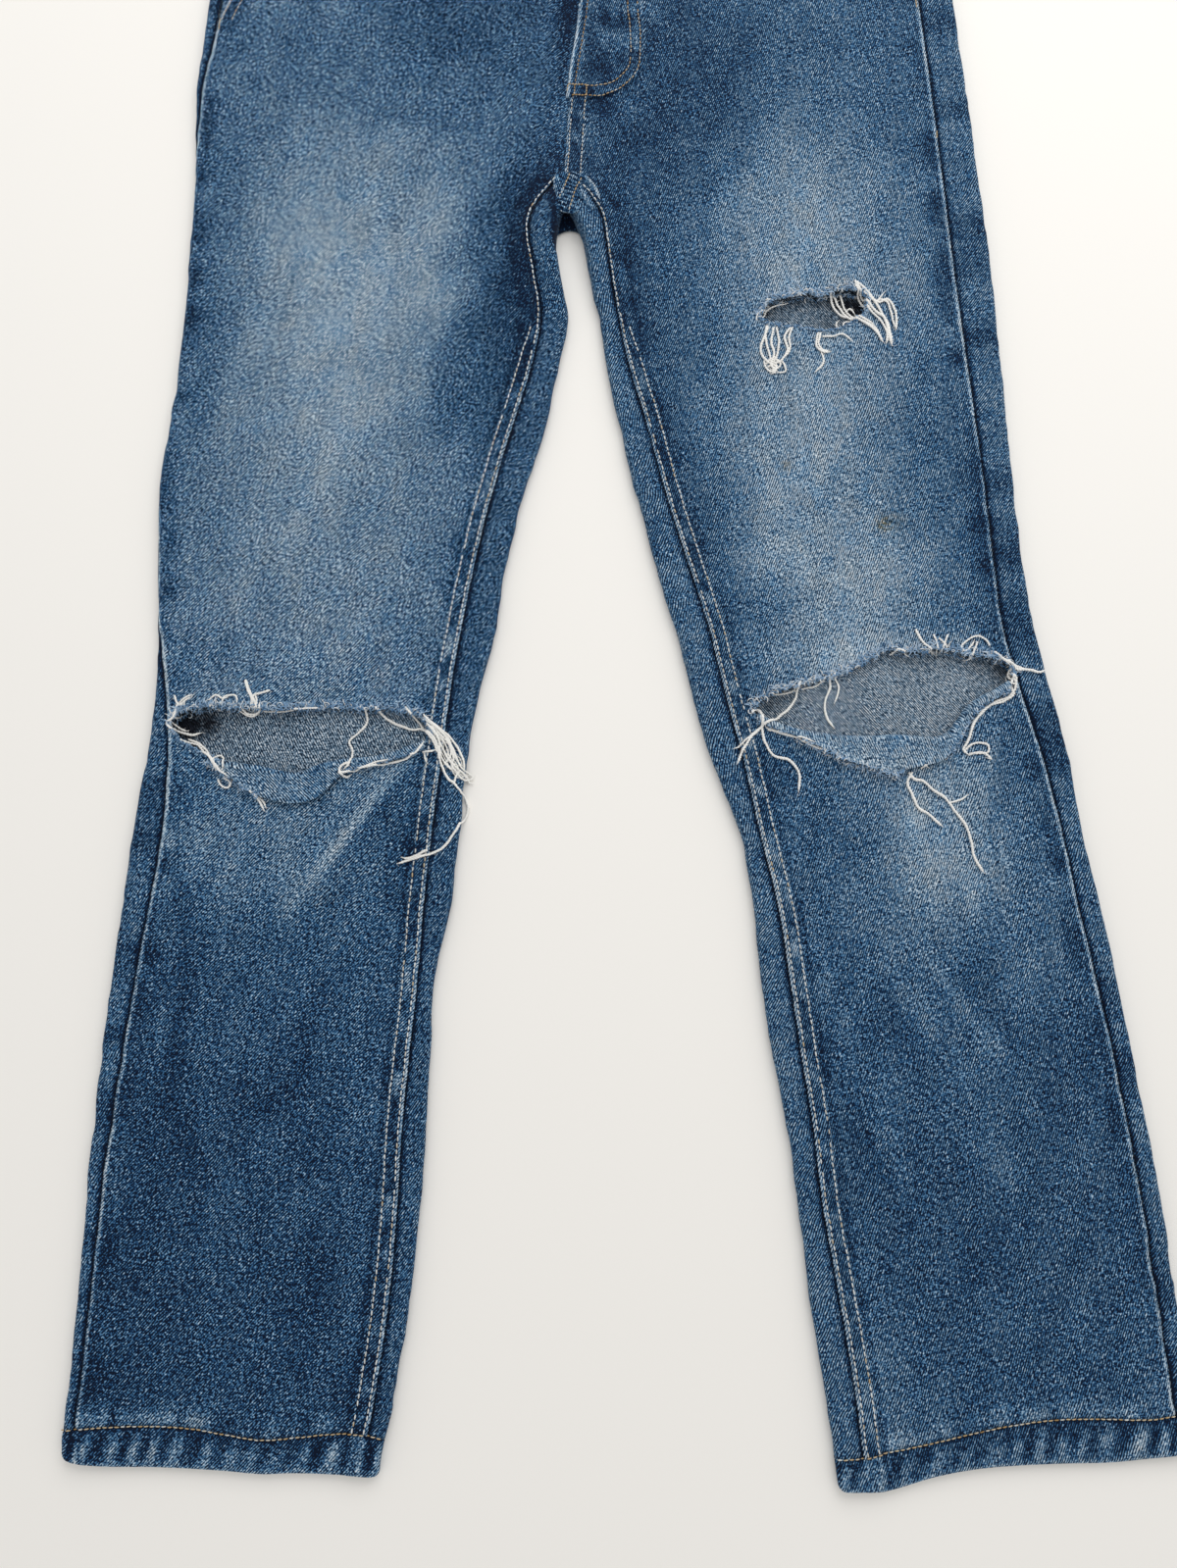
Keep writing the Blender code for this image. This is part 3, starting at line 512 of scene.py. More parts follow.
INDIGO_STOPS = [
    (0.0, (0.002, 0.007, 0.022)),
    (0.25, (0.006, 0.040, 0.115)),
    (0.5, (0.033, 0.118, 0.245)),
    (0.75, (0.104, 0.232, 0.378)),
    (1.0, (0.262, 0.408, 0.545)),
    (1.4, (0.600, 0.710, 0.800)),
]
WORN_STOPS = [
    (0.0, (0.004, 0.010, 0.022)),
    (0.25, (0.022, 0.052, 0.095)),
    (0.5, (0.084, 0.138, 0.198)),
    (0.75, (0.180, 0.258, 0.328)),
    (1.0, (0.362, 0.450, 0.518)),
    (1.4, (0.700, 0.748, 0.780)),
]
REVERSE_STOPS = [
    (0.0, (0.006, 0.014, 0.030)),
    (0.25, (0.034, 0.070, 0.115)),
    (0.5, (0.100, 0.168, 0.245)),
    (0.75, (0.225, 0.310, 0.400)),
    (1.0, (0.430, 0.515, 0.590)),
    (1.4, (0.720, 0.760, 0.790)),
]
STAIN_BROWN = (0.62, 0.36, 0.12)
TEAR_SHADE_COLOUR = (0.03, 0.03, 0.04)
DENIM_FACE = denim_material("denim_face", INDIGO_STOPS, WORN_STOPS, (1.0, 0.0), (STAIN_BROWN, 1.6, 2.2))
# The wrong side's third channel darkens it to near black: painted shade inside the tears.
DENIM_REVERSE = denim_material(
    "denim_reverse", REVERSE_STOPS, REVERSE_STOPS, (0.45, 0.24), (TEAR_SHADE_COLOUR, 2.6, 0.5)
)
FACE_AND_REVERSE = (DENIM_FACE, DENIM_REVERSE)


def wear_and_shade_of(x, fade_and_shade, weave, stain_and_shade=0.0):
    """Paleness, weave and darkening at each point of a grid, painted shade included in places."""
    return np.stack([0 * x + part for part in (fade_and_shade, weave, stain_and_shade)], axis=-1)


# --- Back panels ---------------------------------------------------------------------------
# The back of each leg is one piece of denim. It lies flat on the table, with a few soft
# troughs, wraps up round both folds and shows on top as a narrow strip outside each seam.

BACK_ROW_STEP = 3.0
WRAP_COLUMNS = 16
BACK_TROUGHS = table(
    Crease,
    (-150, -60, -60, -30, 0.9, 14), (-190, -330, -110, -318, 1.1, 16),
    (-200, -380, -120, -352, 0.8, 12), (-160, -470, -178, -600, 0.7, 15), (60, -24, 150, -52, 0.9, 14),
    (120, -312, 214, -322, 1.1, 16), (130, -352, 222, -372, 0.8, 12), (190, -440, 226, -590, 0.7, 15),
)
# A line of painted shade along the right back's inner fold below the crotch
CROTCH_SHADE_LINE = Crease(-22.2, -3, -19.6, -46, 0, 0)

# Inside a tear, painted shade on the layer beneath: its corners and the stretch under the torn top edge
Corner = namedtuple("Corner", "x y reach strength")
PAINTED_TEAR_SHADE = table(
    Corner,
    (-227, -339, 12, 1), (-231, -352, 8, 1), (-216, -337, 10, 0.9), (-196, -334, 9, 0.35),
    (-172, -333, 8, 0.22), (160, -83, 10, 1), (150, -80, 8, 0.9), (138, -78, 7, 0.6),
    (124, -78, 7, 0.5), (112, -82, 8, 0.5), (104, -86, 6, 0.8), (144, -92, 10, 0.35),
    (104, -327, 7, 0.55), (112, -322, 7, 0.35), (236, -306, 9, 0.7), (224, -303, 8, 0.35),
)


def make_back(leg):
    """Wraps over the side fold, runs along the table and, below the crotch, up the inner fold."""
    ys = levels(HEM_TOP_Y, WAIST_SEAM_Y, BACK_ROW_STEP)
    fold = along(leg.outer, "fold", ys)
    start = round_fold(fold, along(leg.outer, "seam", ys)) - SEAM_GAP / 2
    share = np.linspace(0, 1, WRAP_COLUMNS)[None, :]
    s = start[:, None] + (-QUARTER_FOLD - start[:, None]) * share
    row_y = np.repeat(ys[:, None], s.shape[1], axis=1)
    outer_x, outer_z = fold_points(leg, leg.outer, leg.inward, row_y, s)
    outer_z = outer_z - 0.9 * bell(start[:, None] - s, 1.0)

    below = np.minimum(ys, 0.0)
    inner_fold = along(leg.inner, "fold", below)
    end = round_fold(inner_fold, along(leg.inner, "seam", below)) - SEAM_GAP / 2
    inner_s = -QUARTER_FOLD + (end[:, None] + QUARTER_FOLD) * share
    row_y = np.repeat(below[:, None], WRAP_COLUMNS, axis=1)
    inner_x, inner_z = fold_points(leg, leg.inner, -leg.inward, row_y, inner_s)
    inner_z = inner_z - 1.0 * bell(end[:, None] - inner_s, 2.2)
    centre = along(CENTRE, "x", np.maximum(ys, 0.0)) - leg.inward * SEAM_GAP / 2
    above = ys > 0
    inner_x[above] = centre[above, None]
    inner_z[above] = 0.0

    share = np.linspace(0, 1, 46)[None, 1:-1]
    flat_x = outer_x[:, -1:] + (inner_x[:, :1] - outer_x[:, -1:]) * share
    x = np.hstack([outer_x, flat_x, inner_x])
    z = np.hstack([outer_z, flat_x * 0, inner_z])
    rows = np.repeat(ys[:, None], x.shape[1], axis=1)
    move = np.where(z < FOLD_RADIUS, BACK_WAIST_RISE, -FRONT_WAIST_DIP)
    y = finished_y(leg, x, rows, move)
    outside = np.arange(x.shape[1])[None, :] < WRAP_COLUMNS
    lying = (z < 0.01) & ~outside
    for trough in BACK_TROUGHS:
        distance, _ = from_stroke(x, y, trough)
        z = z + lying * trough.height * bell(distance, trough.width)

    step = np.hypot(np.diff(x, axis=1), np.diff(z, axis=1))
    run = np.hstack([x[:, :1] * 0, np.cumsum(step, axis=1)])
    axis = (fold + inner_fold)[:, None] / 2
    on_table = WRAP_COLUMNS - 1
    on_axis = run[:, [on_table]] + np.abs(axis - x[:, [on_table]])
    cloth = np.stack([-leg.inward * (run - on_axis), y], axis=-1)

    on_top = z > FOLD_RADIUS * 1.5
    fade_and_shade = np.where(outside, 0.33, 0.25 if leg is RIGHT else 0.31) + 0 * x
    # Behind the left thigh tear the back's inside is painted darker, as the shade of the tear's hollow.
    paleness = 0.46 if leg is RIGHT else 0.56 - 0.26 * bell((ys[:, None] + 85) / 40, 1.0)
    fade_and_shade = np.where(lying, paleness + 0.06 * soft_noise(x, y, 16, 34), fade_and_shade)
    # Painted shade darkens the back's edges, in the grooves beside both seams.
    edge = np.where(outside, bell(run, 1.5), bell(run[:, -1:] - run, 2.1))
    fade_and_shade = fade_and_shade - 0.8 * edge + 0.05 * soft_noise(x, y, 13, 31) + 0.05 * soft_noise(x, y, 5, 32)
    pressed = np.maximum(soft_noise(y * 0, y, 15, 33 + leg.inward), 0) * outside * on_top
    fade_and_shade = fade_and_shade - 0.34 * pressed
    # Painted shade in the hollow between the legs below the crotch.
    distance, _ = from_stroke(x, y, CROTCH_SHADE_LINE)
    fade_and_shade = fade_and_shade - 0.8 * bell(distance, 2.2) * on_top
    # Painted shade inside the tears goes into the third channel.
    dark = 0 * x
    for corner in PAINTED_TEAR_SHADE:
        near = bell(np.hypot(x - corner.x, y - corner.y), corner.reach)
        dark = np.maximum(dark, corner.strength * near * lying)
    weave = 0.62 if leg is RIGHT else 0.85
    wear_and_shade = wear_and_shade_of(x, fade_and_shade, weave, dark)

    keep = np.ones((len(ys) - 1, x.shape[1] - 1), bool)
    keep[above[:-1], -WRAP_COLUMNS:] = False
    piece = cloth_piece(
        f"back_cloth_{leg.name}", x, y, z, cloth, wear_and_shade, FACE_AND_REVERSE, DENIM, keep, flip=leg is RIGHT
    )
    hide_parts(f"back_panel_{leg.name}")
    return piece


back_cloth = {leg.name: make_back(leg) for leg in (RIGHT, LEFT)}


# --- Front panels --------------------------------------------------------------------------
# The front of each leg is one piece of denim, faded down the thigh and rubbed pale along its
# creases. Rips at both knees and across the left thigh show the wrong side of the back panel.

TearStation = namedtuple("TearStation", "x top low")
RIGHT_KNEE_TEAR = table(
    TearStation,
    (-233, -336, -341), (-226, -331, -349), (-206, -329, -359), (-184, -330, -364),
    (-162, -329.5, -368), (-148, -329, -361), (-126, -330, -359), (-106, -331, -355), (-92, -337, -349),
)
LEFT_KNEE_TEAR = table(
    TearStation,
    (94, -328, -333), (102, -322, -338), (120, -316, -343), (146, -308.5, -346.5), (168, -296.5, -346),
    (188, -298, -347), (199, -295, -347), (213, -298.5, -330), (229, -300, -320), (239.5, -306, -314),
)
LEFT_THIGH_TEAR = table(
    TearStation,
    (103, -88, -91), (109, -81, -95), (122, -78.5, -96.5), (130, -76, -97.5), (138, -78, -99),
    (148, -74.5, -98), (158, -75, -92), (165, -79, -86),
)
TEAR_MARGIN = 16
TEAR_STRETCHES = {"right": [(-394, -316)], "left": [(-394, -288), (-112, -66)]}
TEARS = {"right": [(RIGHT_KNEE_TEAR, 41)], "left": [(LEFT_KNEE_TEAR, 42), (LEFT_THIGH_TEAR, 43)]}


def spaced(points, step):
    """Points at equal steps along a line."""
    points = np.asarray(points, float)
    run = np.concatenate([[0], np.cumsum(np.linalg.norm(np.diff(points, axis=0), axis=1))])
    at = np.linspace(0, run[-1], max(int(run[-1] / step), 1) + 1)
    return np.stack([np.interp(at, run, points[:, i]) for i in range(points.shape[1])], axis=1)


def smooth_line(points, closed=False, per_span=12):
    """Smooth curve through given points."""
    points = np.asarray(points, float)
    if closed:
        points = np.vstack([points[-1:], points, points[:2]])
    else:
        points = np.vstack([2 * points[0] - points[1], points, 2 * points[-1] - points[-2]])
    t = np.linspace(0, 1, per_span, endpoint=False)[:, None]
    spans = []
    for a, b, c, d in zip(points, points[1:], points[2:], points[3:]):
        spans.append(b + 0.5 * t * (c - a + t * (2 * a - 5 * b + 4 * c - d + t * (3 * (b - c) + d - a))))
    return np.vstack(spans + [points[-2:-1]])


def torn_outline(stations, seed):
    """Closed outline of a tear, with the small bites and tabs of ripped cloth."""
    corners = [(s.x, s.top) for s in stations] + [(s.x, s.low) for s in reversed(stations)]
    line = spaced(smooth_line(corners, closed=True), 0.5)
    tangent = np.gradient(line, axis=0)
    tangent /= np.linalg.norm(tangent, axis=1)[:, None]
    normal = np.stack([-tangent[:, 1], tangent[:, 0]], axis=1)
    x, y = line[:, 0], line[:, 1]
    bite = 0.6 * soft_noise(x, y, 2.2, seed) + 0.7 * soft_noise(x, y, 6.5, seed + 1)
    return line + normal * bite[:, None]


def inside(x, y, outline):
    """Which points lie inside a closed outline."""
    found = np.zeros(x.shape, bool)
    for (x0, y0), (x1, y1) in zip(outline, np.roll(outline, -1, axis=0)):
        if y0 != y1:
            crosses = (y0 > y) != (y1 > y)
            found ^= crosses & (x < x0 + (y - y0) * (x1 - x0) / (y1 - y0))
    return found


def nearest_on(x, y, outline):
    """Nearest point of an outline to each point, and its distance."""
    gaps = np.hypot(x[:, None] - outline[None, :, 0], y[:, None] - outline[None, :, 1])
    best = gaps.argmin(axis=1)
    return outline[best], gaps[np.arange(len(x)), best]


TORN_EDGES = {}
for leg_name, tears in TEARS.items():
    TORN_EDGES[leg_name] = [torn_outline(stations, seed) for stations, seed in tears]

# How worn each front is: its level on the shin and on the thigh, and soft patches. A patch has its
# share of the way from the side fold to the inner fold or the centre front, its y, its reach
# across as a share and along, and how much paler or darker it is. The dark patches on the inner
# fold of both thighs are painted shade of the fold's roll.
Patch = namedtuple("Patch", "share y wide long change")
RIGHT_PATCHES = table(
    Patch,
    (0.43, -65, 0.34, 105, 0.36), (0.45, -238, 0.4, 100, 0.24), (0.45, -405, 0.38, 50, 0.18),
    (0.72, -350, 0.16, 40, 0.1), (0.45, -490, 0.25, 40, 0.06), (1, -50, 0.2, 75, -0.58),
    (1, -230, 0.14, 130, -0.22), (0.78, -125, 0.15, 45, -0.2), (0.82, 140, 0.32, 90, -0.18),
    (0, -75, 0.15, 60, -0.12), (0, -590, 0.12, 50, 0.12), (0.2, -640, 0.12, 100, -0.06),
    (0.88, -505, 0.2, 65, 0.13), (0.9, -720, 0.16, 60, -0.1), (0.85, -405, 0.12, 25, -0.14),
)
LEFT_PATCHES = table(
    Patch,
    (0.52, -255, 0.26, 95, 0.36), (0.46, -55, 0.25, 105, 0.33), (0.4, -303, 0.45, 18, 0.16),
    (0.6, -160, 0.26, 40, 0.13), (0, -205, 0.13, 62, -0.36), (1, -190, 0.28, 150, -0.2),
    (1, -55, 0.14, 55, -0.2), (0.85, 60, 0.36, 90, -0.26), (0.42, -400, 0.2, 50, 0.33),
    (0.6, -450, 0.18, 40, 0.12), (0.2, -445, 0.15, 40, 0.14), (1, -445, 0.16, 45, 0.14),
    (0, -716, 0.14, 40, 0.24), (0.8, -690, 0.12, 40, 0.15), (0.5, -510, 0.3, 60, 0.08),
)
WearAndShade = namedtuple("WearAndShade", "shin thigh patches")
WEAR_AND_SHADE = {"right": WearAndShade(0.17, 0.36, RIGHT_PATCHES), "left": WearAndShade(0.22, 0.31, LEFT_PATCHES)}
KNEE_Y = -420

# Pale and dark strokes on the fronts: ends, width and how much paler or darker. Pale ones are
# rubbed; the dark ones beside the fold below the right knee tear, down the right shin's trough
# and left of the fly's edge are painted shade
Stroke = namedtuple("Stroke", "x0 y0 x1 y1 width change")
RUBBED_AND_SHADE_STROKES = table(
    Stroke,
    (-104, -361, -151, -425, 3.6, 0.26), (-98, -364, -145, -428, 4.2, -0.24),
    (-151, -425, -170, -450, 4.5, 0.12), (-90, -395, -118, -470, 16, -0.08),
    (-126, -400, -172, -447, 6, 0.10), (-238, -345, -229, -440, 2, 0.2),
    (232, -329, 219, -380, 2.5, 0.14), (180, -372, 192, -432, 4, 0.10), (200, -366, 208, -420, 4, 0.09),
    (180, -463, 215, -509, 4, 0.18), (215, -509, 227, -522, 4, 0.18), (168, -478, 196, -522, 6, 0.1),
    (196, -522, 217, -563, 6, 0.1), (217, -563, 229, -588, 6, 0.1), (121, -441, 131, -486, 5, 0.13),
    (131, -486, 143, -517, 5, 0.13), (143, -517, 145, -538, 5, 0.13), (192, -553, 224, -586, 5, 0.11),
    (153, -533, 162, -568, 5, 0.1), (162, -568, 175, -603, 5, 0.1), (190, -430, 191, -457, 4, 0.14),
    (206, -422, 215, -449, 4, 0.14), (153, -470, 184, -538, 8, -0.13), (213, -486, 235, -522, 8, -0.12),
    (235, -522, 252, -553, 8, -0.12), (139, -553, 156, -583, 8, -0.11),
    (156, -583, 177, -638, 8, -0.11), (-227, -422, -217, -473, 6, -0.13),
    (-217, -473, -223, -512, 6, -0.13), (-223, -512, -222, -548, 6, -0.13),
    (-222, -548, -206, -583, 6, -0.13), (-238, -422, -232, -486, 4, 0.08),
    (-232, -486, -234, -538, 4, 0.08), (-149, -486, -158, -533, 6, -0.1),
    (-158, -533, -176, -553, 6, -0.1), (-129, -608, -153, -662, 10, -0.08),
    (-184, -551, -162, -576, 8, 0.06), (-182, 69, -129, 45, 4, -0.09), (-129, 45, -99, 38, 4, -0.09),
    (-145, -34, -122, -27, 3, -0.1), (-122, -27, -107, -27, 3, -0.1), (-72, -1, -86, -27, 6, 0.08),
    (-86, -27, -100, -66, 6, 0.08), (-50, 30, -130, 52, 12, -0.08), (-40, 2, -100, 16, 6, 0.05),
    (-30, 70, -120, 100, 12, -0.05), (20, 22, 90, 44, 10, -0.06), (60, 60, 120, 74, 14, -0.05),
    (-8, 150, -14, 92, 6, -0.5), (-14, 96, -18, 56, 4, -0.25), (-4, 126, 3, 114, 3.5, 0.2),
    (7, 111, 18, 102, 5, -0.36), (8, 100, 24, 86, 6, 0.26), (2, 82, 12, 67, 6, -0.34),
    (34, 119, 45, 108, 5, 0.26), (-2, 58, 17, 46, 5, -0.32), (17, 53, 32, 42, 6, 0.25),
    (-3, 42, 4, 22, 5, 0.2), (-44, 96, -60, 78, 8, 0.1),
)

# Dirt on the left thigh
Spot = namedtuple("Spot", "x y reach strength")
SPOTS = [Spot(115.5, -184.6, 2.6, 0.9), Spot(170.7, -220.0, 4.2, 1.0), Spot(178, -219, 6.0, 0.35)]


def across_share(leg, x, y):
    """0 at the side fold, 1 at the inner fold or the centre front."""
    outer = along(leg.outer, "fold", y)
    below, above = along(leg.inner, "fold", np.minimum(y, 0.0)), along(CENTRE, "x", np.maximum(y, 0.0))
    return (x - outer) / (np.where(y < 0, below, above) - outer)


def front_fade_and_shade(leg, x, y):
    """How pale a front is at a point of its finished face, painted shade of some folds and beside the fly
    included.
    """
    worn = WEAR_AND_SHADE[leg.name]
    q = across_share(leg, x, y) + 0.03 * soft_noise(x, y, 24, 61)
    fade_and_shade = worn.shin + (worn.thigh - worn.shin) * ease((y - KNEE_Y) / 200 + 0.5)
    for patch in worn.patches:
        reach = np.hypot((q - patch.share) / patch.wide, (y - patch.y) / patch.long)
        fade_and_shade = fade_and_shade + patch.change * bell(reach**1.6, 1.0)
    for stroke in RUBBED_AND_SHADE_STROKES:
        distance, t = from_stroke(x, y, stroke)
        fade_and_shade = fade_and_shade + stroke.change * bell(distance, stroke.width) * (0.35 + 0.65 * np.sin(math.pi * t))
    fade_and_shade = fade_and_shade + 0.035 * soft_noise(x, y, 30, 51) + 0.035 * soft_noise(x, y, 11, 52)
    fade_and_shade = fade_and_shade + 0.05 * soft_noise(x * 0.9 - y * 0.45, x * 0.15 + y * 0.3, 9, 60)
    return fade_and_shade + 0.04 * soft_noise(x * 2.4, y * 0.35, 12, 53)


def cloth_top(leg, x, y):
    """Height of a front's outer face at finished x and y."""
    return top_height(leg, x, y) + relief(leg, x, y)


def mouth_line(leg, y):
    """x of a front's outer edge: the side seam, and above it the slanting pocket mouth."""
    rise = np.maximum((y - leg.pocket_y) / (WAIST_SEAM_Y - leg.pocket_y), 0.0)
    return along(leg.outer, "seam", y) + leg.inward * MOUTH_SLANT * rise**1.2


def make_front(leg):
    ys = levels(HEM_TOP_Y, WAIST_SEAM_Y, 2.6, 1.4, TEAR_STRETCHES[leg.name])
    fold = along(leg.outer, "fold", ys)
    start = round_fold(fold, mouth_line(leg, ys)) + SEAM_GAP / 2
    inseam = along(leg.inner, "seam", np.minimum(ys, 0.0))
    centre = along(CENTRE, "x", np.maximum(ys, 0.0))
    last_x = np.where(ys <= 0, inseam, centre) - leg.inward * SEAM_GAP / 2
    end = QUARTER_FOLD + np.abs(last_x - fold) - FOLD_RADIUS
    s = stops_between(start, end, 0.8, 6, 72)
    rows = np.repeat(ys[:, None], s.shape[1], axis=1)
    x, z = fold_points(leg, leg.outer, leg.inward, rows, s)
    y = finished_y(leg, x, rows, -FRONT_WAIST_DIP)
    z = z + relief(leg, x, y) * ease((s - QUARTER_FOLD) / 8)
    from_outer, from_inner = s - start[:, None], end[:, None] - s
    z = z - 0.9 * bell(from_outer, 1.1) - 0.5 * bell(from_inner, 1.0)
    z = z - 0.7 * bell(rows - HEM_TOP_Y, 1.6)

    fade_and_shade = front_fade_and_shade(leg, x, y)
    rope = soft_noise(x * 0.8, y, 8, 54)
    beads = 0.85 + 0.3 * soft_noise(y, x * 0, 1.8, 58)
    patches = np.maximum(soft_noise(x * 0.5, y, 13, 59), 0)
    fade_and_shade = fade_and_shade + 0.12 * rope * bell(from_outer, 7) + 0.72 * beads * bell(from_outer - 1.1, 1.0)
    fade_and_shade = fade_and_shade - 0.42 * patches * bell(from_outer - 7, 5) - 0.12 * bell(from_outer - 3.6, 1.2)
    # Puckers beside the inseam, and a painted shadow just beyond the felled strip's inner edge.
    puckers = 0.16 * bell(from_inner - 9, 8) * soft_noise(x, y, 9, 55)
    fade_and_shade = fade_and_shade + (puckers - 0.22 * bell(from_inner - 10.6, 1.5)) * (rows < 0)
    near_hem = bell(rows - HEM_TOP_Y - 3, 7)
    fade_and_shade = fade_and_shade + near_hem * (0.14 + 0.34 * soft_noise(x * 1.6, y * 0.5, 8, 56))
    # A painted shade line in the groove where the hem meets the front.
    fade_and_shade = fade_and_shade - 0.3 * bell(rows - HEM_TOP_Y, 1.3)
    weave = 0.85 + 0.15 * ease((y + 480) / 260) + 0.18 * soft_noise(x, y, 25, 57)
    weave = weave * (0.58 if leg is RIGHT else 0.78)
    stain_and_shade = 0 * x
    for spot in SPOTS if leg is LEFT else []:
        stain_and_shade = stain_and_shade + spot.strength * bell(np.hypot(x - spot.x, y - spot.y), spot.reach)

    keep = np.ones((x.shape[0] - 1, x.shape[1] - 1), bool)
    middle_x = (x[:-1, :-1] + x[1:, 1:]) / 2
    middle_y = (y[:-1, :-1] + y[1:, 1:]) / 2
    for outline in TORN_EDGES[leg.name]:
        low, high = outline.min(axis=0) - TEAR_MARGIN, outline.max(axis=0) + TEAR_MARGIN
        close = (middle_x > low[0]) & (middle_x < high[0]) & (middle_y > low[1]) & (middle_y < high[1])
        gone = np.zeros(keep.shape, bool)
        gone[close] = inside(middle_x[close], middle_y[close], outline)
        keep &= ~gone
        touched, kept = np.zeros(x.shape, int), np.zeros(x.shape, int)
        for i, j in ((0, 0), (0, 1), (1, 0), (1, 1)):
            area = (slice(i, i + keep.shape[0]), slice(j, j + keep.shape[1]))
            touched[area] += gone
            kept[area] += ~gone
        rim = (touched > 0) & (kept > 0)
        near = (x > low[0]) & (x < high[0]) & (y > low[1]) & (y < high[1])
        _, distance = nearest_on(x[near], y[near], outline)
        fade_and_shade[near] += 0.10 * bell(distance, 3.0) + 0.05 * bell(distance, 9.0)
        weave[near] *= 1 - 0.6 * bell(distance, 3.0)
        z[near] += 0.35 * bell(distance, 2.5)
        snapped, _ = nearest_on(x[rim], y[rim], outline)
        x[rim], y[rim] = snapped[:, 0], snapped[:, 1]

    wear_and_shade = wear_and_shade_of(x, fade_and_shade, weave, stain_and_shade)
    name, cloth = f"front_cloth_{leg.name}", flat_cloth(leg, x, y)
    piece = cloth_piece(name, x, y, z, cloth, wear_and_shade, FACE_AND_REVERSE, DENIM, keep, flip=leg is LEFT)
    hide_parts(f"front_panel_{leg.name}")
    return piece, float((end - start).max()) * MM, grid_area(x, y, z)


front_cloth, front_cut = {}, {}
for leg in (RIGHT, LEFT):
    front_cloth[leg.name], *front_cut[leg.name] = make_front(leg)


# --- Inseams -------------------------------------------------------------------------------
# Each inseam is felled: a doubled strip raised on the front's edge, held by two rows of cream
# thread. The strip has puckered between the rows and is rubbed pale on its edges.

THREAD_WIDTH = 0.66
STITCH_PITCH = 2.75
FELL_STITCHES = (1.5, 7.5)
FELL_COLUMNS = (-0.5, -0.3, 0.1, 0.7, 1.1, 1.5, 1.9, 2.6, 3.6, 4.8, 5.8, 6.6, 7.1, 7.5, 7.9, 8.3, 8.5, 8.6)


def surface_under(pieces):
    """Function giving the height of the uppermost of these pieces at x and y, 0 on the table."""
    bpy.context.view_layer.update()
    graph = bpy.context.evaluated_depsgraph_get()
    trees = [BVHTree.FromObject(piece, graph) for piece in pieces]
    down = Vector((0, 0, -1))

    def height(x, y):
        start = Vector(((x + SHIFT_X) * MM, (y + SHIFT_Y) * MM, 0.1))
        hits = [tree.ray_cast(start, down)[0] for tree in trees]
        return max([hit.z / MM for hit in hits if hit] + [0.0])

    return height


def solid_piece(name, points, faces, material, tones=None):
    """Piece from points in garment millimetres, each with a tone for its material."""
    mesh = bpy.data.meshes.new(name)
    points = (np.asarray(points) + (SHIFT_X, SHIFT_Y, 0)) * MM
    mesh.from_pydata(points.tolist(), [], [list(face) for face in faces])
    if tones is not None:
        mesh.attributes.new("tone", "FLOAT", "POINT").data.foreach_set("value", np.asarray(tones, float))
    mesh.shade_smooth()
    mesh.materials.append(material)
    piece = bpy.data.objects.new(name, mesh)
    bpy.context.scene.collection.objects.link(piece)
    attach(piece, "root")
    return piece


def tubes(name, lines, material, sides=5):
    """Round threads in one mesh. Each line is its points, its radii and its tone."""
    all_points, all_faces, all_tones, first = [], [], [], 0
    angle = np.arange(sides) * 2 * math.pi / sides
    ring = np.arange(sides)
    for points, radii, tone in lines:
        points = np.asarray(points, float)
        heading = np.gradient(points, axis=0)
        heading /= np.maximum(np.linalg.norm(heading, axis=1), 1e-9)[:, None]
        side = np.cross(heading, (0.03, 0.02, 1.0))
        side /= np.maximum(np.linalg.norm(side, axis=1), 1e-9)[:, None]
        up = np.cross(side, heading)
        radii = np.broadcast_to(np.asarray(radii, float), (len(points),))
        reach = side[:, None] * np.cos(angle)[None, :, None] + up[:, None] * np.sin(angle)[None, :, None]
        all_points.append((points[:, None] + reach * radii[:, None, None]).reshape(-1, 3))
        for i in range(len(points) - 1):
            a = first + i * sides + ring
            b = first + i * sides + (ring + 1) % sides
            all_faces += np.stack([a, b, b + sides, a + sides], axis=1).tolist()
        last = first + (len(points) - 1) * sides
        all_faces += [(first + ring[::-1]).tolist(), (last + ring).tolist()]
        all_tones.append(np.full(len(points) * sides, tone))
        first += len(points) * sides
    return solid_piece(name, np.vstack(all_points), all_faces, material, np.concatenate(all_tones))


def stitch_lines(path, height, seed, tone, pitch=STITCH_PITCH, width=THREAD_WIDTH):
    """Short arched stitches along a path of x and y, each pulled into the cloth at its ends."""
    chance = np.random.default_rng(seed)
    path = spaced(path, pitch)
    profile = np.array([-0.5, -0.3, 0.0, 0.3, 0.5])
    thick = np.array([0.30, 0.92, 1.0, 0.92, 0.30]) * width / 2
    rise = np.array([-0.24, 0.03, 0.10, 0.03, -0.24])
    lines = []
    for start, end in zip(path, path[1:]):
        if chance.random() < 0.03:
            continue
        along_it = end - start
        length = np.linalg.norm(along_it)
        across = np.array([-along_it[1], along_it[0]]) / length
        middle = (start + end) / 2 + across * chance.normal(0, 0.07)
        slant = across * length * chance.normal(0.04, 0.05)
        points = middle + profile[:, None] * (along_it + slant) * chance.uniform(0.74, 0.86)
        z = height(*middle) + rise + width * 0.12
        lines.append((np.column_stack([points, z]), thick, tone + chance.normal(0, 0.12)))
    return lines


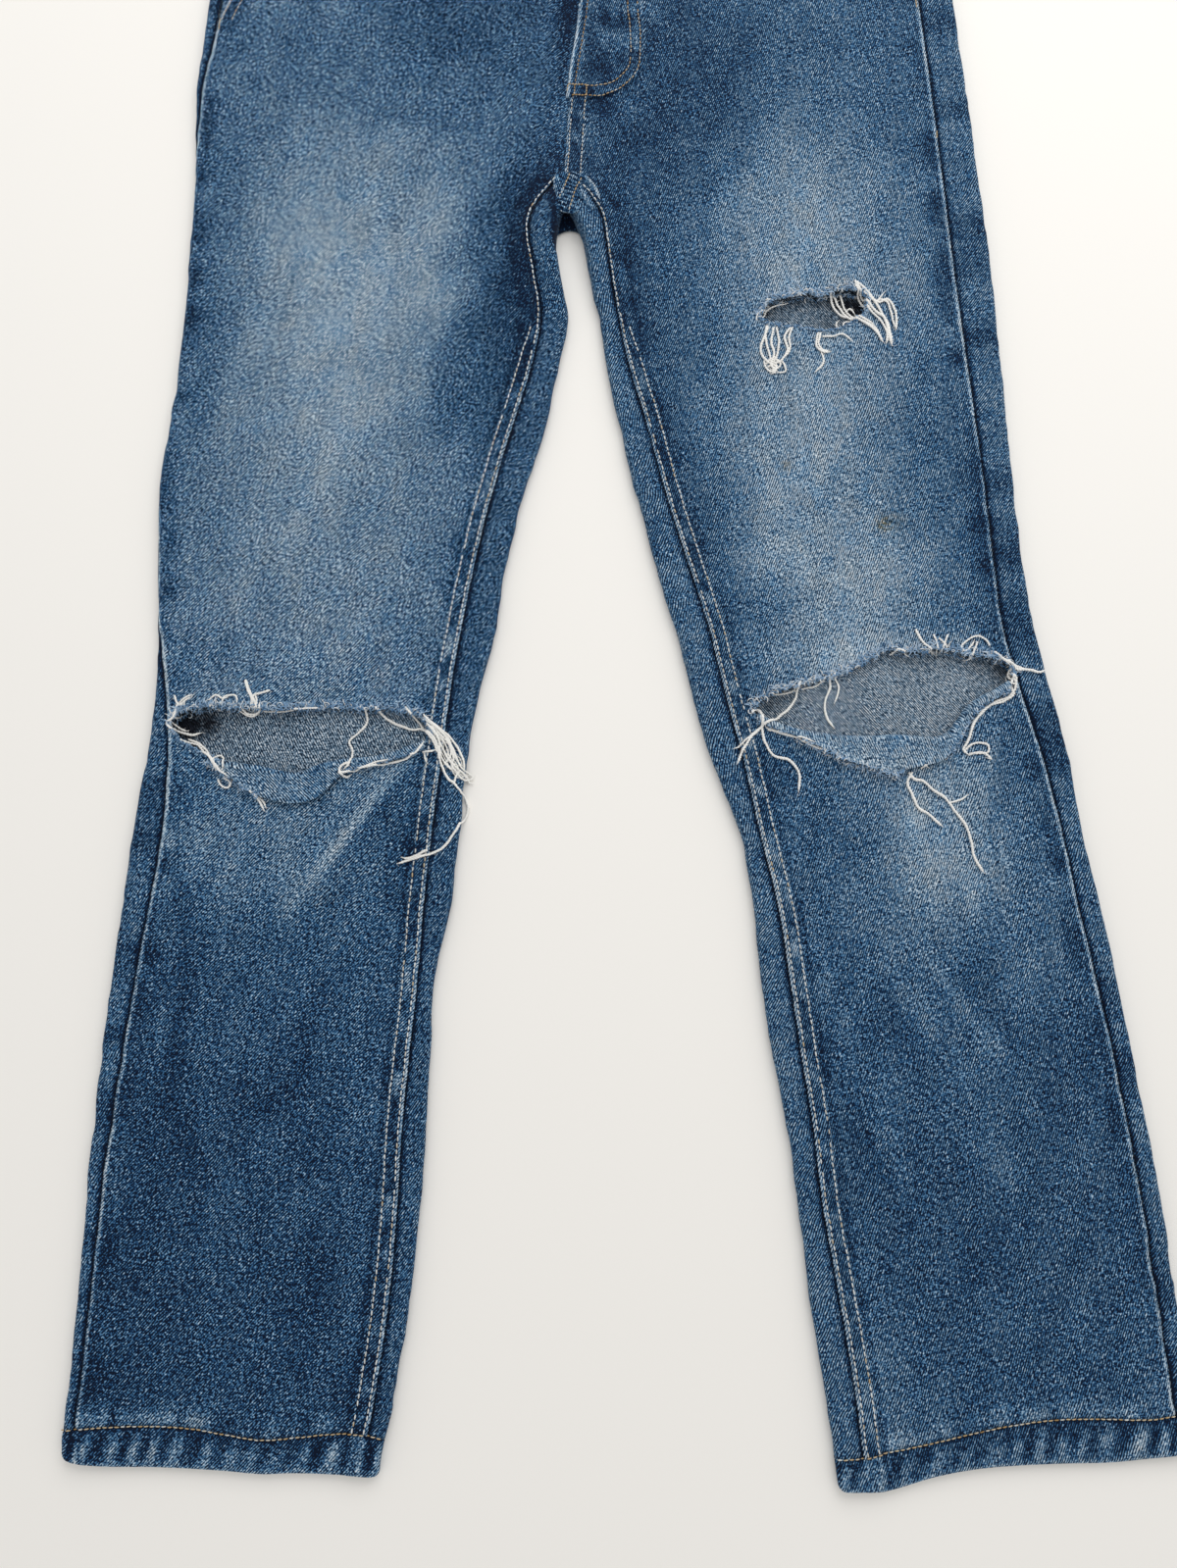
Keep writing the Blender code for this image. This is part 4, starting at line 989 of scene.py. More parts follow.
def toned_material(name, stops, roughness, specular, mottling=0.0):
    """Thread or fibre whose colour runs over the stops with each strand's own tone."""
    material, tree, shader = new_material(name)
    tone = add_node(tree, "Attribute", attribute_name="tone", attribute_type="GEOMETRY").outputs["Fac"]
    if mottling:
        place = add_node(tree, "TexCoord").outputs["Object"]
        tone = calculate(tree, "MULTIPLY_ADD", noise(tree, place, 700.0, 2.0), mottling, tone)
    tree.links.new(colour_ramp(tree, tone, stops), shader.inputs["Base Color"])
    shader.inputs["Roughness"].default_value = roughness
    shader.inputs["Specular IOR Level"].default_value = specular
    return material


THREAD_STOPS = [
    (0.0, (0.16, 0.085, 0.03)),
    (0.4, (0.42, 0.27, 0.11)),
    (0.68, (0.54, 0.45, 0.31)),
    (0.82, (0.58, 0.59, 0.57)),
    (1.0, (0.74, 0.76, 0.74)),
]
SEWING_THREAD = toned_material("sewing_thread", THREAD_STOPS, 0.75, 0.3, 0.13)
CREAM, TAN, GOLD = 0.90, 0.62, 0.40


def felled_strip(name, leg, edge_x, inward, ys, width, seed, narrowing=0.0, thread=(2.75, 0.66)):
    """Raised strip from a seam's edge inwards, with two pressed stitch rows."""
    w = np.array(FELL_COLUMNS)
    w = w * np.where(w > 1.5, width / FELLED_SEAM, 1.0)
    row_y = np.repeat(ys[:, None], len(w), axis=1)
    narrow = 1 - narrowing * ease((row_y + 125) / 50)
    x = edge_x[:, None] + inward * w[None, :] * narrow + 0.22 * soft_noise(row_y, row_y, 7, seed)
    y = finished_y(leg, x, row_y, -FRONT_WAIST_DIP)
    rows = [stop * (width / FELLED_SEAM if stop > 1.5 else 1) for stop in FELL_STITCHES]
    sunk = sum(bell(w - row, 0.5) for row in rows)
    edges = 0.75 * bell(w - w[0], 0.32) + 0.6 * bell(w[-1] - w, 0.32)
    between = np.clip((w - rows[0]) / (rows[1] - rows[0]), 0, 1)
    bulge = np.sin(math.pi * between)
    lumps = 0.12 + soft_noise(row_y + w * 1.1, row_y * 0, 6.5, seed + 1)
    lumps = lumps + 0.6 * soft_noise(row_y - w, row_y * 0, 3.4, seed + 2)
    z = cloth_top(leg, x, y) + SEAM_GAP + 0.72 - edges - 0.26 * sunk + bulge * (0.18 + 0.26 * lumps)
    beads = 0.8 + 0.35 * soft_noise(row_y + w, row_y * 0, 1.5, seed + 8)
    fade_and_shade = front_fade_and_shade(leg, x, y) - 0.14 + 0.4 * bulge * np.maximum(lumps, -0.45) - 0.3 * sunk
    fade_and_shade = fade_and_shade + beads * (0.86 * bell(w - 0.2, 0.8) + 0.5 * bell(w - w[-2], 0.8))
    fade_and_shade = fade_and_shade + 0.06 * soft_noise(x, y, 3, seed + 3)
    weave = 0.65 if leg is RIGHT else 1.0
    wear_and_shade = wear_and_shade_of(x, fade_and_shade, weave)
    cloth = flat_cloth(leg, x, y)
    piece = cloth_piece(name, x, y, z, cloth, wear_and_shade, FACE_AND_REVERSE, PATCH_CLOTH * 0.8, flip=inward < 0)
    height = surface_under([piece])
    lines = []
    for i, row in enumerate(rows):
        at = np.argmin(np.abs(w - row))
        shown = ys < (-96 if narrowing and i else 300)
        path = np.column_stack([x[shown, at], y[shown, at]])
        lines += stitch_lines(path, height, seed + 4 + i, CREAM, *thread)
    return piece, tubes(name + "_thread", lines, SEWING_THREAD)


inseams = {}
for leg in (RIGHT, LEFT):
    ys = levels(HEM_TOP_Y + 0.2, -0.6, 2.3, 1.3, [(-60, 0)])
    edge_x = along(leg.inner, "seam", ys)
    name, seed = f"inseam_cloth_{leg.name}", 61 + 10 * leg.inward
    inseams[leg.name] = felled_strip(name, leg, edge_x, -leg.inward, ys, 8.6, seed, 0.6, (3.4, 0.88))
    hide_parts(f"inseam_{leg.name}")


# --- Centre-front seam and crotch ----------------------------------------------------------
# Below the fly the two fronts are joined by a felled seam, lying on the left front. Where it
# meets both inseams the layers bunch in a ribbed saddle, over the web that joins the backs.

centre_ys = levels(1.5, 56.4, 1.3)
centre_edge = along(CENTRE, "x", centre_ys) - 0.2
centre_seam = felled_strip("centre_seam_cloth", LEFT, centre_edge, 1, centre_ys, 10.6, 91)
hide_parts("centre_front_seam")

SADDLE_LEFT = [(-16.5, 3.2), (-20.4, 0.5), (-21.2, -7), (-20.2, -14), (-18.6, -20)]
SADDLE_RIGHT = [(-4.0, 2.4), (1.5, -2.5), (6.0, -9), (6.8, -15), (3.0, -21.5)]
SADDLE_ROWS = [
    [(-11.3, 1.0), (-14.2, -6.2), (-17.2, -12.5), (-19.2, -17.5)],
    [(-4.2, -1.5), (-7.6, -8.6), (-10.0, -15.5), (-11.8, -21.2)],
]


def lowered(row):
    """A stitch row on the saddle, where the rise moves it."""
    line = spaced(smooth_line(row), 0.3)
    return line - np.column_stack([0 * line[:, 0], 0.7 * crotch_rise(line[:, 0], line[:, 1])])


def make_saddle():
    v = np.linspace(0, 1, 44)
    u = np.linspace(0, 1, 44)[None, :]
    sides = []
    for line in (spaced(smooth_line(SADDLE_LEFT), 0.2), spaced(smooth_line(SADDLE_RIGHT), 0.2)):
        at = v * (len(line) - 1)
        sides.append([np.interp(at, np.arange(len(line)), line[:, i])[:, None] for i in (0, 1)])
    x = sides[0][0] * (1 - u) + sides[1][0] * u
    y = sides[0][1] * (1 - u) + sides[1][1] * u - 2.2 * np.sin(math.pi * u) * v[:, None] ** 2
    across = x * 0.93 - y * 0.36
    down = x * 0.36 + y * 0.93
    ribs = np.sin(2 * math.pi * (down + 0.5 * soft_noise(x, y, 5, 101)) / 2.4) * bell(across + 8.5, 5.5)
    fan = np.sin(2 * math.pi * (x * 0.55 + y * 0.35 + 2) / 5.2) * ease((across + 3.5) / 4)
    rim = np.minimum(np.minimum(u, 1 - u) * 22, np.minimum(v[:, None], 1 - v[:, None]) * 22)
    y = y - 0.7 * crotch_rise(x, y)
    z = 8.6 + crotch_rise(x, y) - 2.6 * ease(v[:, None]) - 1.2 * bell(rim, 0.9) + 0.4 * ribs + 0.8 * fan
    z = z + 0.5 * soft_noise(x, y, 7, 102) - 0.8 * bell(v[:, None], 0.10)
    for row in SADDLE_ROWS:
        gap = nearest_on(x.ravel(), y.ravel(), lowered(row))[1].reshape(x.shape)
        z = z - 0.45 * bell(gap, 0.7)
    fade_and_shade = 0.22 + 0.46 * ribs + 0.36 * fan + 0.55 * bell(rim, 1.1) - 0.25 * ease((v[:, None] - 0.75) * 4)
    fade_and_shade = fade_and_shade + 0.08 * soft_noise(x, y, 3, 103)
    wear_and_shade = wear_and_shade_of(x, fade_and_shade, 0.6)
    cloth = flat_cloth(LEFT, x, y)
    piece = cloth_piece("crotch_saddle", x, y, z, cloth, wear_and_shade, FACE_AND_REVERSE, 1.1, flip=True)
    height = surface_under([piece])
    lines = []
    for i, row in enumerate(SADDLE_ROWS):
        lines += stitch_lines(lowered(row), height, 104 + i, GOLD + 0.2, 2.3, 0.85)
    return piece, tubes("crotch_thread", lines, SEWING_THREAD)


def make_web():
    """Where the two back panels join below the front crotch, painted near black as the shade of the hollow
    there.
    """
    t = np.linspace(0, 1, 15)
    ys = -1 - 36 * t
    left = along(RIGHT_INNER, "fold", ys) - 1.5
    right = along(LEFT_INNER, "fold", ys) + 1.5
    u = np.linspace(0, 1, 13)[None, :]
    x = left[:, None] * (1 - u) + right[:, None] * u
    y = np.repeat(ys[:, None], 13, axis=1) + 5.0 * (1 - (2 * u - 1) ** 2) * t[:, None]
    z = 2.6 - 0.9 * np.sin(math.pi * u) + 0 * y
    # Near black: painted shade of the hollow under the crotch.
    wear_and_shade = wear_and_shade_of(x, -0.34 - 0.2 * t[:, None], 0.3)
    cloth = flat_cloth(LEFT, x, y)
    return cloth_piece("crotch_web", x, y, z, cloth, wear_and_shade, FACE_AND_REVERSE, 1.2, flip=True)


saddle = make_saddle()
crotch_web = make_web()


# --- Hems ----------------------------------------------------------------------------------
# Each leg ends in a hem turned up inside and stitched round with one row of tan thread. It
# has roped: the cloth stands in slanting ridges, pale on top and dark blue between.

HEM_WALL = 2.2
ROPE_PITCH = 12.5
ROPE_SLANT = 0.28


def hem_ring(leg, raw_y, inset):
    """Closed section of a hem, inset from its outer face, from the side fold over the top."""
    turns = np.linspace(-math.pi / 2, math.pi / 2, 9)
    radius = FOLD_RADIUS - inset
    xs, zs = [], []
    for rows, inward, order in ((leg.outer, leg.inward, turns), (leg.inner, -leg.inward, turns[::-1])):
        fold = along(rows, "fold", raw_y) + inward * edge_waver(rows, raw_y)
        x = fold[:, None] + inward * (FOLD_RADIUS - radius[:, None] * np.cos(order))
        z = FOLD_RADIUS + radius[:, None] * np.sin(order)
        if xs:
            share = np.linspace(0, 1, 74)[None, 1:-1]
            top_x = xs[0][:, -1:] + (x[:, :1] - xs[0][:, -1:]) * share
            top = top_height(leg, top_x, np.repeat(raw_y[:, None], 72, axis=1))
            xs.append(top_x)
            zs.append(top - inset[:, None])
        xs.append(x)
        zs.append(z)
    share = np.linspace(0, 1, 42)[None, 1:-1]
    xs.append(xs[-1][:, -1:] + (xs[0][:, :1] - xs[-1][:, -1:]) * share)
    zs.append(np.repeat(inset[:, None], 40, axis=1))
    return np.hstack(xs), np.hstack(zs)


def make_hem(leg):
    t = np.array([0, 0.02, 0.06, 0.12, 0.2, 0.3, 0.4, 0.5, 0.6, 0.7, 0.8, 0.88, 0.94, 0.98, 1.0])
    inset = np.interp(t, [0, 0.02, 0.06, 0.12, 0.94, 0.98, 1.0], [1.25, 0.7, 0.25, 0, 0, 0.25, 0.7])
    raw_y = HEM_TOP_Y - SEAM_GAP / 2 - HEM_DEPTH * (1 - t)
    x, z = hem_ring(leg, raw_y, inset)
    rows = np.repeat(raw_y[:, None], x.shape[1], axis=1)
    y = finished_y(leg, x, rows, 0)
    on_top = z > FOLD_RADIUS
    depth = (1 - t[:, None]) * HEM_DEPTH
    phase = (x - ROPE_SLANT * (HEM_DEPTH - depth) + 5 * soft_noise(x, x * 0, 24, 111)) / ROPE_PITCH
    rope = np.sin(2 * math.pi * phase) * (0.8 + 0.5 * soft_noise(x, x * 0, 19, 114))
    rope = rope + 0.4 * soft_noise(x - 0.3 * y, y * 0.4, 4, 112)
    body = np.sin(math.pi * np.clip(t[:, None], 0.02, 1))
    z = z + np.where(on_top, 0.55 * rope * body, 0)
    # Pale rope tops and a pale worn lower edge; the dark line at the hem's top is painted shade in the groove
    # there.
    fade_and_shade = 0.25 + 0.46 * rope * body - 0.20 * bell(depth - 3.2, 2.6) + 0.36 * bell(depth - HEM_DEPTH, 1.8)
    fade_and_shade = fade_and_shade + 0.07 * soft_noise(x, y, 4, 113) - 0.45 * bell(depth, 1.1)
    # The seams show as pale ridges, with painted shade in the grooves beside them.
    outer_seam = np.abs(x - along(leg.outer, "seam", rows) - leg.inward * 1.2)
    fade_and_shade = fade_and_shade + 0.45 * bell(outer_seam, 1.1) * on_top - 0.4 * bell(outer_seam - 2.6, 1.0) * on_top
    inseam_gap = (x - along(leg.inner, "seam", rows)) * -leg.inward
    fell = ease((inseam_gap + 0.4) / 0.6) * ease((9.2 - inseam_gap) / 0.6) * on_top
    z = z + 0.45 * fell
    fade_and_shade = fade_and_shade + fell * (0.52 + 0.1 * rope - fade_and_shade) * 0.85 + 0.2 * bell(inseam_gap - 8.2, 0.8) * on_top
    fade_and_shade = fade_and_shade - 0.45 * (bell(inseam_gap + 1.1, 1.0) + bell(inseam_gap - 10.2, 0.8)) * on_top
    wear_and_shade = wear_and_shade_of(x, fade_and_shade, (0.62 if leg is RIGHT else 0.85) - 0.3 * fell)
    cloth = flat_cloth(leg, np.where(on_top, x, 2 * along(leg.outer, "fold", HEM_TOP_Y) - x), y)
    name, flip = f"hem_cloth_{leg.name}", leg is LEFT
    piece = cloth_piece(name, x, y, z, cloth, wear_and_shade, FACE_AND_REVERSE, HEM_WALL, closed=True, flip=flip)
    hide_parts(f"hem_{leg.name}")
    return piece, x, y, z


for leg in (RIGHT, LEFT):
    hem, x, y, z = make_hem(leg)
    height = surface_under([hem, front_cloth[leg.name], back_cloth[leg.name], inseams[leg.name][0]])
    stops = leg.hem
    reach = np.linspace(stops[0].x + 1.2, stops[-1].x - 1.2, 90)
    path = np.column_stack([reach, along(stops, "stitch", reach, "x") + 0.25])
    lines = stitch_lines(path, lambda a, b: height(a, b) + 0.1, 121 + leg.inward, TAN, 3.0, 0.78)
    reach = np.linspace(stops[0].x + 5, stops[-1].x - 5, 80)
    under = np.column_stack([reach, along(stops, "stitch", reach, "x")])
    lines += stitch_lines(under, lambda a, b: 0.12, 125 + leg.inward, TAN, 3.0, 0.5)
    thread = tubes(f"hem_thread_{leg.name}", lines, SEWING_THREAD)


# --- Pocket facings ------------------------------------------------------------------------
# A slanting pocket opens at each hip. Under its mouth lies a facing of the same denim; the
# mouth's edge is turned and held by one row of thread, with a bar of thread at its foot.

FACING_REACH = 14.0


def make_facing(leg):
    ys = levels(leg.pocket_y - 8, WAIST_SEAM_Y - SEAM_GAP, 3.0)
    seam = along(leg.outer, "seam", ys) + leg.inward * SEAM_GAP
    inner = mouth_line(leg, ys) + leg.inward * FACING_REACH
    share = np.linspace(0, 1, 24)[None, :]
    x = seam[:, None] + (inner - seam)[:, None] * share
    rows = np.repeat(ys[:, None], 24, axis=1)
    y = finished_y(leg, x, rows, -FRONT_WAIST_DIP)
    z = top_height(leg, x, y) + relief(leg, x, y) - DENIM - 0.6 + 0.15 * soft_noise(x, y, 15, 131)
    fade_and_shade = front_fade_and_shade(leg, x, y) - 0.10 + 0.12 * bell(share * 24, 2)
    wear_and_shade = wear_and_shade_of(x, fade_and_shade, 0.95)
    cloth = flat_cloth(leg, x, y)
    name = f"pocket_facing_cloth_{leg.name}"
    return cloth_piece(name, x, y, z, cloth, wear_and_shade, FACE_AND_REVERSE, PATCH_CLOTH, flip=leg is LEFT)


for leg in (RIGHT, LEFT):
    facing = make_facing(leg)
    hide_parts(f"pocket_facing_{leg.name}")
    ys = np.linspace(leg.pocket_y + 2, WAIST_SEAM_Y - 1, 60)
    lines = []
    height = surface_under([front_cloth[leg.name]])
    for inset in (2.2, 8.4):
        x = mouth_line(leg, ys) + leg.inward * inset
        path = np.column_stack([x, finished_y(leg, x, ys, -FRONT_WAIST_DIP)])
        lines += stitch_lines(path, height, 135 + leg.inward, TAN)
    foot = along(leg.outer, "seam", leg.pocket_y - 2) + leg.inward * 2.2
    bar = np.array([(foot, leg.pocket_y + 3), (foot - leg.inward * 0.4, leg.pocket_y - 5)])
    lines += stitch_lines(bar, height, 137, GOLD + 0.1, 1.3, 0.9)
    if leg is LEFT:
        bar = np.array([(213.4, 36.0), (213.0, 27.5)])
        lines += stitch_lines(bar, height, 138, GOLD + 0.12, 1.2, 0.9)
    thread = tubes(f"pocket_thread_{leg.name}", lines, SEWING_THREAD)


# --- Fly -----------------------------------------------------------------------------------
# The left front laps over the right and is closed down to a J of two rows of thread. Its
# folded edge is worn nearly white; a box of gold thread holds its foot.

FlyRow = namedtuple("FlyRow", "y reach")
FLY = table(
    FlyRow,
    (54, 13), (55, 19.5), (56.5, 24), (59, 29.5), (62.5, 34.2), (66.5, 38), (71, 40.9), (78, 42.6),
    (98, 41.2), (121, 38.6), (175, 37.4), (230, 37.4),
)
FLY_OVERLAP = 2.6
J_INNER = [
    (-2, 62.2), (4, 62.0), (14, 64.2), (20, 69), (25, 76), (26.2, 87), (25.6, 104), (24.4, 121),
    (27, 170), (29.4, 217),
]
J_OUTER = [
    (-3, 55.8), (6, 55.2), (15.6, 58.4), (23.5, 64), (29.2, 71), (31.4, 79), (32, 98), (30.5, 121),
    (32.6, 170), (35.8, 217),
]
FLY_EDGE_ROW = [(-8.3, 64), (-5.6, 82), (-3.0, 100), (-0.4, 121), (2.0, 170), (4.0, 217)]
BARTACK = [
    [(-12.6, 62.5), (-1.0, 62.3)], [(-12.2, 55.3), (-1.0, 55.6)], [(-8.4, 62.6), (-8.8, 55.3)],
    [(-1.2, 62.4), (-1.2, 55.4)], [(-12.6, 62.4), (-13.2, 58.0)],
]


def make_fly():
    ys = levels(FLY[0].y, WAIST_SEAM_Y - SEAM_GAP, 2.4, 0.8, [(54, 66)])
    start = along(CENTRE, "x", ys) - FLY_OVERLAP
    end = along(CENTRE, "x", ys) + along(FLY, "reach", ys)
    stops = stops_between(start, end, 0.35, 5, 34)
    rows = np.repeat(ys[:, None], stops.shape[1], axis=1)
    x = stops + 0.25 * soft_noise(stops * 0, rows, 9, 141) * bell(stops - start[:, None], 3)
    leg = LEFT
    y = finished_y(leg, x, rows, -FRONT_WAIST_DIP)
    edge, far = x - start[:, None], end[:, None] - x
    foot = rows - FLY[0].y
    z = cloth_top(leg, x, y) + SEAM_GAP + DENIM
    z = z - 0.9 * bell(edge, 0.6) - 1.35 * bell(far, 0.9) - 1.0 * bell(foot, 0.9)
    z = z + 0.22 * soft_noise(x, y, 9, 142) + 0.3 * bell(edge - 0.9, 0.8)
    gaps = []
    for path, depth in ((J_INNER, 0.3), (J_OUTER, 0.35), (FLY_EDGE_ROW, 0.25)):
        gaps.append(nearest_on(x.ravel(), y.ravel(), spaced(smooth_line(path), 0.7))[1].reshape(x.shape))
        z = z - depth * bell(gaps[-1], 0.9)
    inner_gap, outer_gap, _ = gaps
    between = bell((inner_gap + outer_gap - 6.2) / 2.5, 1.0)
    fade_and_shade = front_fade_and_shade(leg, x, y) + 0.02
    fade_and_shade = fade_and_shade + 0.95 * bell(edge - 0.9, 1.3) - 0.2 * bell(edge - 3.4, 1.0) + 0.26 * bell(edge - 6.4, 1.1)
    fade_and_shade = fade_and_shade - between * (0.12 - 0.26 * soft_noise(x, y, 6, 143)) - 0.2 * bell(inner_gap, 0.9)
    fade_and_shade = fade_and_shade - 0.2 * bell(outer_gap, 0.9) + 0.26 * bell(outer_gap - 1.7, 0.9)
    fade_and_shade = fade_and_shade + 0.2 * bell(inner_gap - 1.7, 0.9)
    fade_and_shade = fade_and_shade + 0.2 * soft_noise(x * 1.6, y * 0.6, 8, 144) + 0.05 * soft_noise(x, y, 3.5, 145)
    wear_and_shade = wear_and_shade_of(x, fade_and_shade, 0.85)
    piece = cloth_piece("fly_cloth", x, y, z, flat_cloth(leg, x, y), wear_and_shade, FACE_AND_REVERSE, DENIM * 0.9)
    height = surface_under([piece, front_cloth["left"], front_cloth["right"]])
    lines = stitch_lines(spaced(smooth_line(J_INNER), 1), height, 146, TAN)
    lines += stitch_lines(spaced(smooth_line(J_OUTER), 1), height, 147, TAN)
    lines += stitch_lines(spaced(smooth_line(FLY_EDGE_ROW), 1), height, 148, 0.22)
    for i, bar in enumerate(BARTACK):
        lines += stitch_lines(np.array(bar), height, 149 + i, GOLD + 0.1, 1.7, 0.85)
    return piece, tubes("fly_thread", lines, SEWING_THREAD), grid_area(x, y, z)


fly, fly_thread, fly_area = make_fly()
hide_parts("fly_lap")


# --- Waistband -----------------------------------------------------------------------------
# A doubled strip of denim goes round the waist, sewn on with a row of thread along each edge.
# Its left end laps over its right end, where the button sits.

BAND_HEIGHT = 6.2
BAND_LAP_RISE = 2.9
BAND_EXTENSION = 24.0
BAND_END = 4.0
BAND_WALL = 2.4


def band_path(raw_y, inset):
    """x and z round the waist, from under the lap by the right side and the back to the lap."""
    right = along(RIGHT_OUTER, "fold", raw_y)[:, None]
    left = along(LEFT_OUTER, "fold", raw_y)[:, None]
    centre = along(CENTRE, "x", raw_y)[:, None]
    inset = inset[:, None]
    middle = BAND_HEIGHT / 2
    turns = np.linspace(math.pi / 2, -math.pi / 2, 11)[None, :]
    radius = middle - inset
    width = right + middle - centre - BAND_EXTENSION
    lower = (centre + BAND_EXTENSION) + width * np.linspace(0, 1, 75)[None, :-1]
    right_x = right + middle - radius * np.cos(turns)
    left_x = left - middle + radius * np.cos(turns[:, ::-1])
    back = right + middle + (left - right - 2 * middle) * np.linspace(0, 1, 90)[None, 1:-1]
    upper = (left - middle) + (centre - BAND_END - left + middle) * np.linspace(0, 1, 72)[None, 1:]
    rise = BAND_LAP_RISE * ease((centre + 75 - upper) / 40)
    x = np.hstack([lower, right_x, back, left_x, upper])
    z = [0 * lower + BAND_HEIGHT - inset, middle + radius * np.sin(turns), 0 * back + inset]
    z += [middle + radius * np.sin(turns[:, ::-1]), BAND_HEIGHT + rise - inset]
    return x, np.hstack([part + 0 * raw_y[:, None] for part in z])


def make_band():
    t = np.array([0, 0.015, 0.04, 0.08, 0.11, 0.2, 0.35, 0.5, 0.65, 0.8, 0.89, 0.92, 0.96, 0.985, 1.0])
    turned_at = [0, 0.015, 0.04, 0.08, 0.92, 0.96, 0.985, 1]
    inset = np.interp(t, turned_at, [0.9, 0.45, 0.15, 0, 0, 0.15, 0.45, 0.9])
    raw_y = WAIST_SEAM_Y + SEAM_GAP + WAISTBAND_DEPTH * t
    x, z = band_path(raw_y, inset)
    rows = np.repeat(raw_y[:, None], x.shape[1], axis=1)
    centre = along(CENTRE, "x", raw_y)[:, None]
    move = np.where(z < BAND_HEIGHT / 2, BACK_WAIST_RISE, -FRONT_WAIST_DIP)
    y = np.where(x < centre, finished_y(RIGHT, x, rows, move), finished_y(LEFT, x, rows, move))
    on_top = z > BAND_HEIGHT / 2
    rope = soft_noise(x, y * 0.5, 7, 151)
    z = z + np.where(on_top, 0.18 * soft_noise(x, y, 13, 152) + 0.12 * rope, 0)
    step = np.hypot(np.diff(x, axis=1, prepend=x[:, :1]), np.diff(z, axis=1, prepend=z[:, :1]))
    run = np.cumsum(step, axis=1)
    rim = np.minimum(t, 1 - t)[:, None] * WAISTBAND_DEPTH
    end = np.minimum(run, run[:, -1:] - run)
    z = z - np.where(on_top, 0.7 * bell(end, 0.8), 0)
    fade_and_shade = 0.44 + 0.05 * soft_noise(x, y, 22, 153) + 0.18 * bell(rim - 0.6, 1.2) + 0.10 * rope * bell(rim, 5)
    fade_and_shade = fade_and_shade - 0.12 * bell(rim - 2.6, 0.8) + 0.2 * bell(end, 1.2)
    wear_and_shade = wear_and_shade_of(x, fade_and_shade, 0.95)
    cloth = np.stack([rows, -run], axis=-1)
    piece = cloth_piece("waistband_cloth", x, y, z, cloth, wear_and_shade, FACE_AND_REVERSE, BAND_WALL, flip=True)
    height = surface_under([piece])
    lines = []
    for i, share in enumerate((0.075, 0.925)):
        row = np.array([raw_y[0] + WAISTBAND_DEPTH * share])
        px, pz = band_path(row, np.array([0.0]))
        pick = pz[0] > BAND_HEIGHT * 0.8
        right_y, left_y = (finished_y(leg, px[0], row, -FRONT_WAIST_DIP) for leg in (RIGHT, LEFT))
        py = np.where(px[0] < along(CENTRE, "x", row), right_y, left_y)
        for stretch in (px[0] < -1.5, px[0] > -3.5):
            chosen = pick & stretch & ((np.arange(len(pick)) < 80) == (stretch[0] == (px[0][0] < -1.5)))
            path = np.column_stack([px[0], py])[chosen]
            if len(path) > 3:
                lines += stitch_lines(path[path[:, 0].argsort()], height, 154 + i, TAN)
    return piece, tubes("waistband_thread", lines, SEWING_THREAD), float(run[7, -1])


waistband, waistband_thread, waist_run = make_band()
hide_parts("waistband")


# --- Button --------------------------------------------------------------------------------
# A shank button of coppered brass: a pressed cap with a raised rim and a sunk middle, on a
# short post through the waistband's end.

BUTTON_RADIUS = 8.5
BUTTON_FACE_SINK = 0.7


def make_button():
    low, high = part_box("waist_button")
    middle = ((low[0] + high[0]) / 2, (low[1] + high[1]) / 2, (low[2] + high[2]) / 2)
    height = high[2] - low[2]
    bpy.ops.object.select_all(action="DESELECT")
    bpy.ops.mesh.primitive_cylinder_add(vertices=64, radius=BUTTON_RADIUS * MM, depth=height, location=middle)
    button = bpy.context.object
    button.name = "button_cap"
    bpy.ops.object.transform_apply(location=True, rotation=True, scale=True)
    bpy.ops.object.mode_set(mode="EDIT")
    bpy.ops.mesh.select_mode(type="FACE")
    cap = bmesh.from_edit_mesh(button.data)
    for face in cap.faces:
        face.select_set(face.normal.z > 0.9)
    bmesh.update_edit_mesh(button.data)
    bpy.ops.mesh.inset(thickness=1.5 * MM, depth=0)
    bpy.ops.mesh.inset(thickness=0.7 * MM, depth=-BUTTON_FACE_SINK * MM)
    bpy.ops.mesh.inset(thickness=1.6 * MM, depth=0)
    bpy.ops.mesh.inset(thickness=0.5 * MM, depth=0.25 * MM)
    bpy.ops.mesh.inset(thickness=2.4 * MM, depth=0.15 * MM)
    bpy.ops.object.mode_set(mode="OBJECT")
    soften = button.modifiers.new("soft_edges", "BEVEL")
    soften.width = 0.35 * MM
    soften.segments = 3
    soften.limit_method = "ANGLE"
    bpy.ops.object.shade_smooth_by_angle(angle=math.radians(40))
    return button


def brass_material():
    material, tree, shader = new_material("coppered_brass")
    place = add_node(tree, "TexCoord").outputs["Object"]
    tarnish = add_node(tree, "TexNoise", {"Vector": place, "Scale": 400.0, "Detail": 4.0}).outputs["Fac"]
    colour = colour_ramp(tree, tarnish, [(0.35, (0.36, 0.20, 0.11)), (0.6, (0.58, 0.35, 0.20))])
    tree.links.new(colour, shader.inputs["Base Color"])
    tree.links.new(calculate(tree, "MULTIPLY_ADD", tarnish, -0.3, 0.5), shader.inputs["Roughness"])
    shader.inputs["Metallic"].default_value = 1.0
    return material


button = make_button()
button.data.materials.append(brass_material())
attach(button, "root")
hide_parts("waist_button")


# --- Turned-out edges of the knee tears ----------------------------------------------------
# Below each knee tear the torn edge has rolled out over the shin, wrong side up: a flap that
# is widest in the middle, with a frayed end.

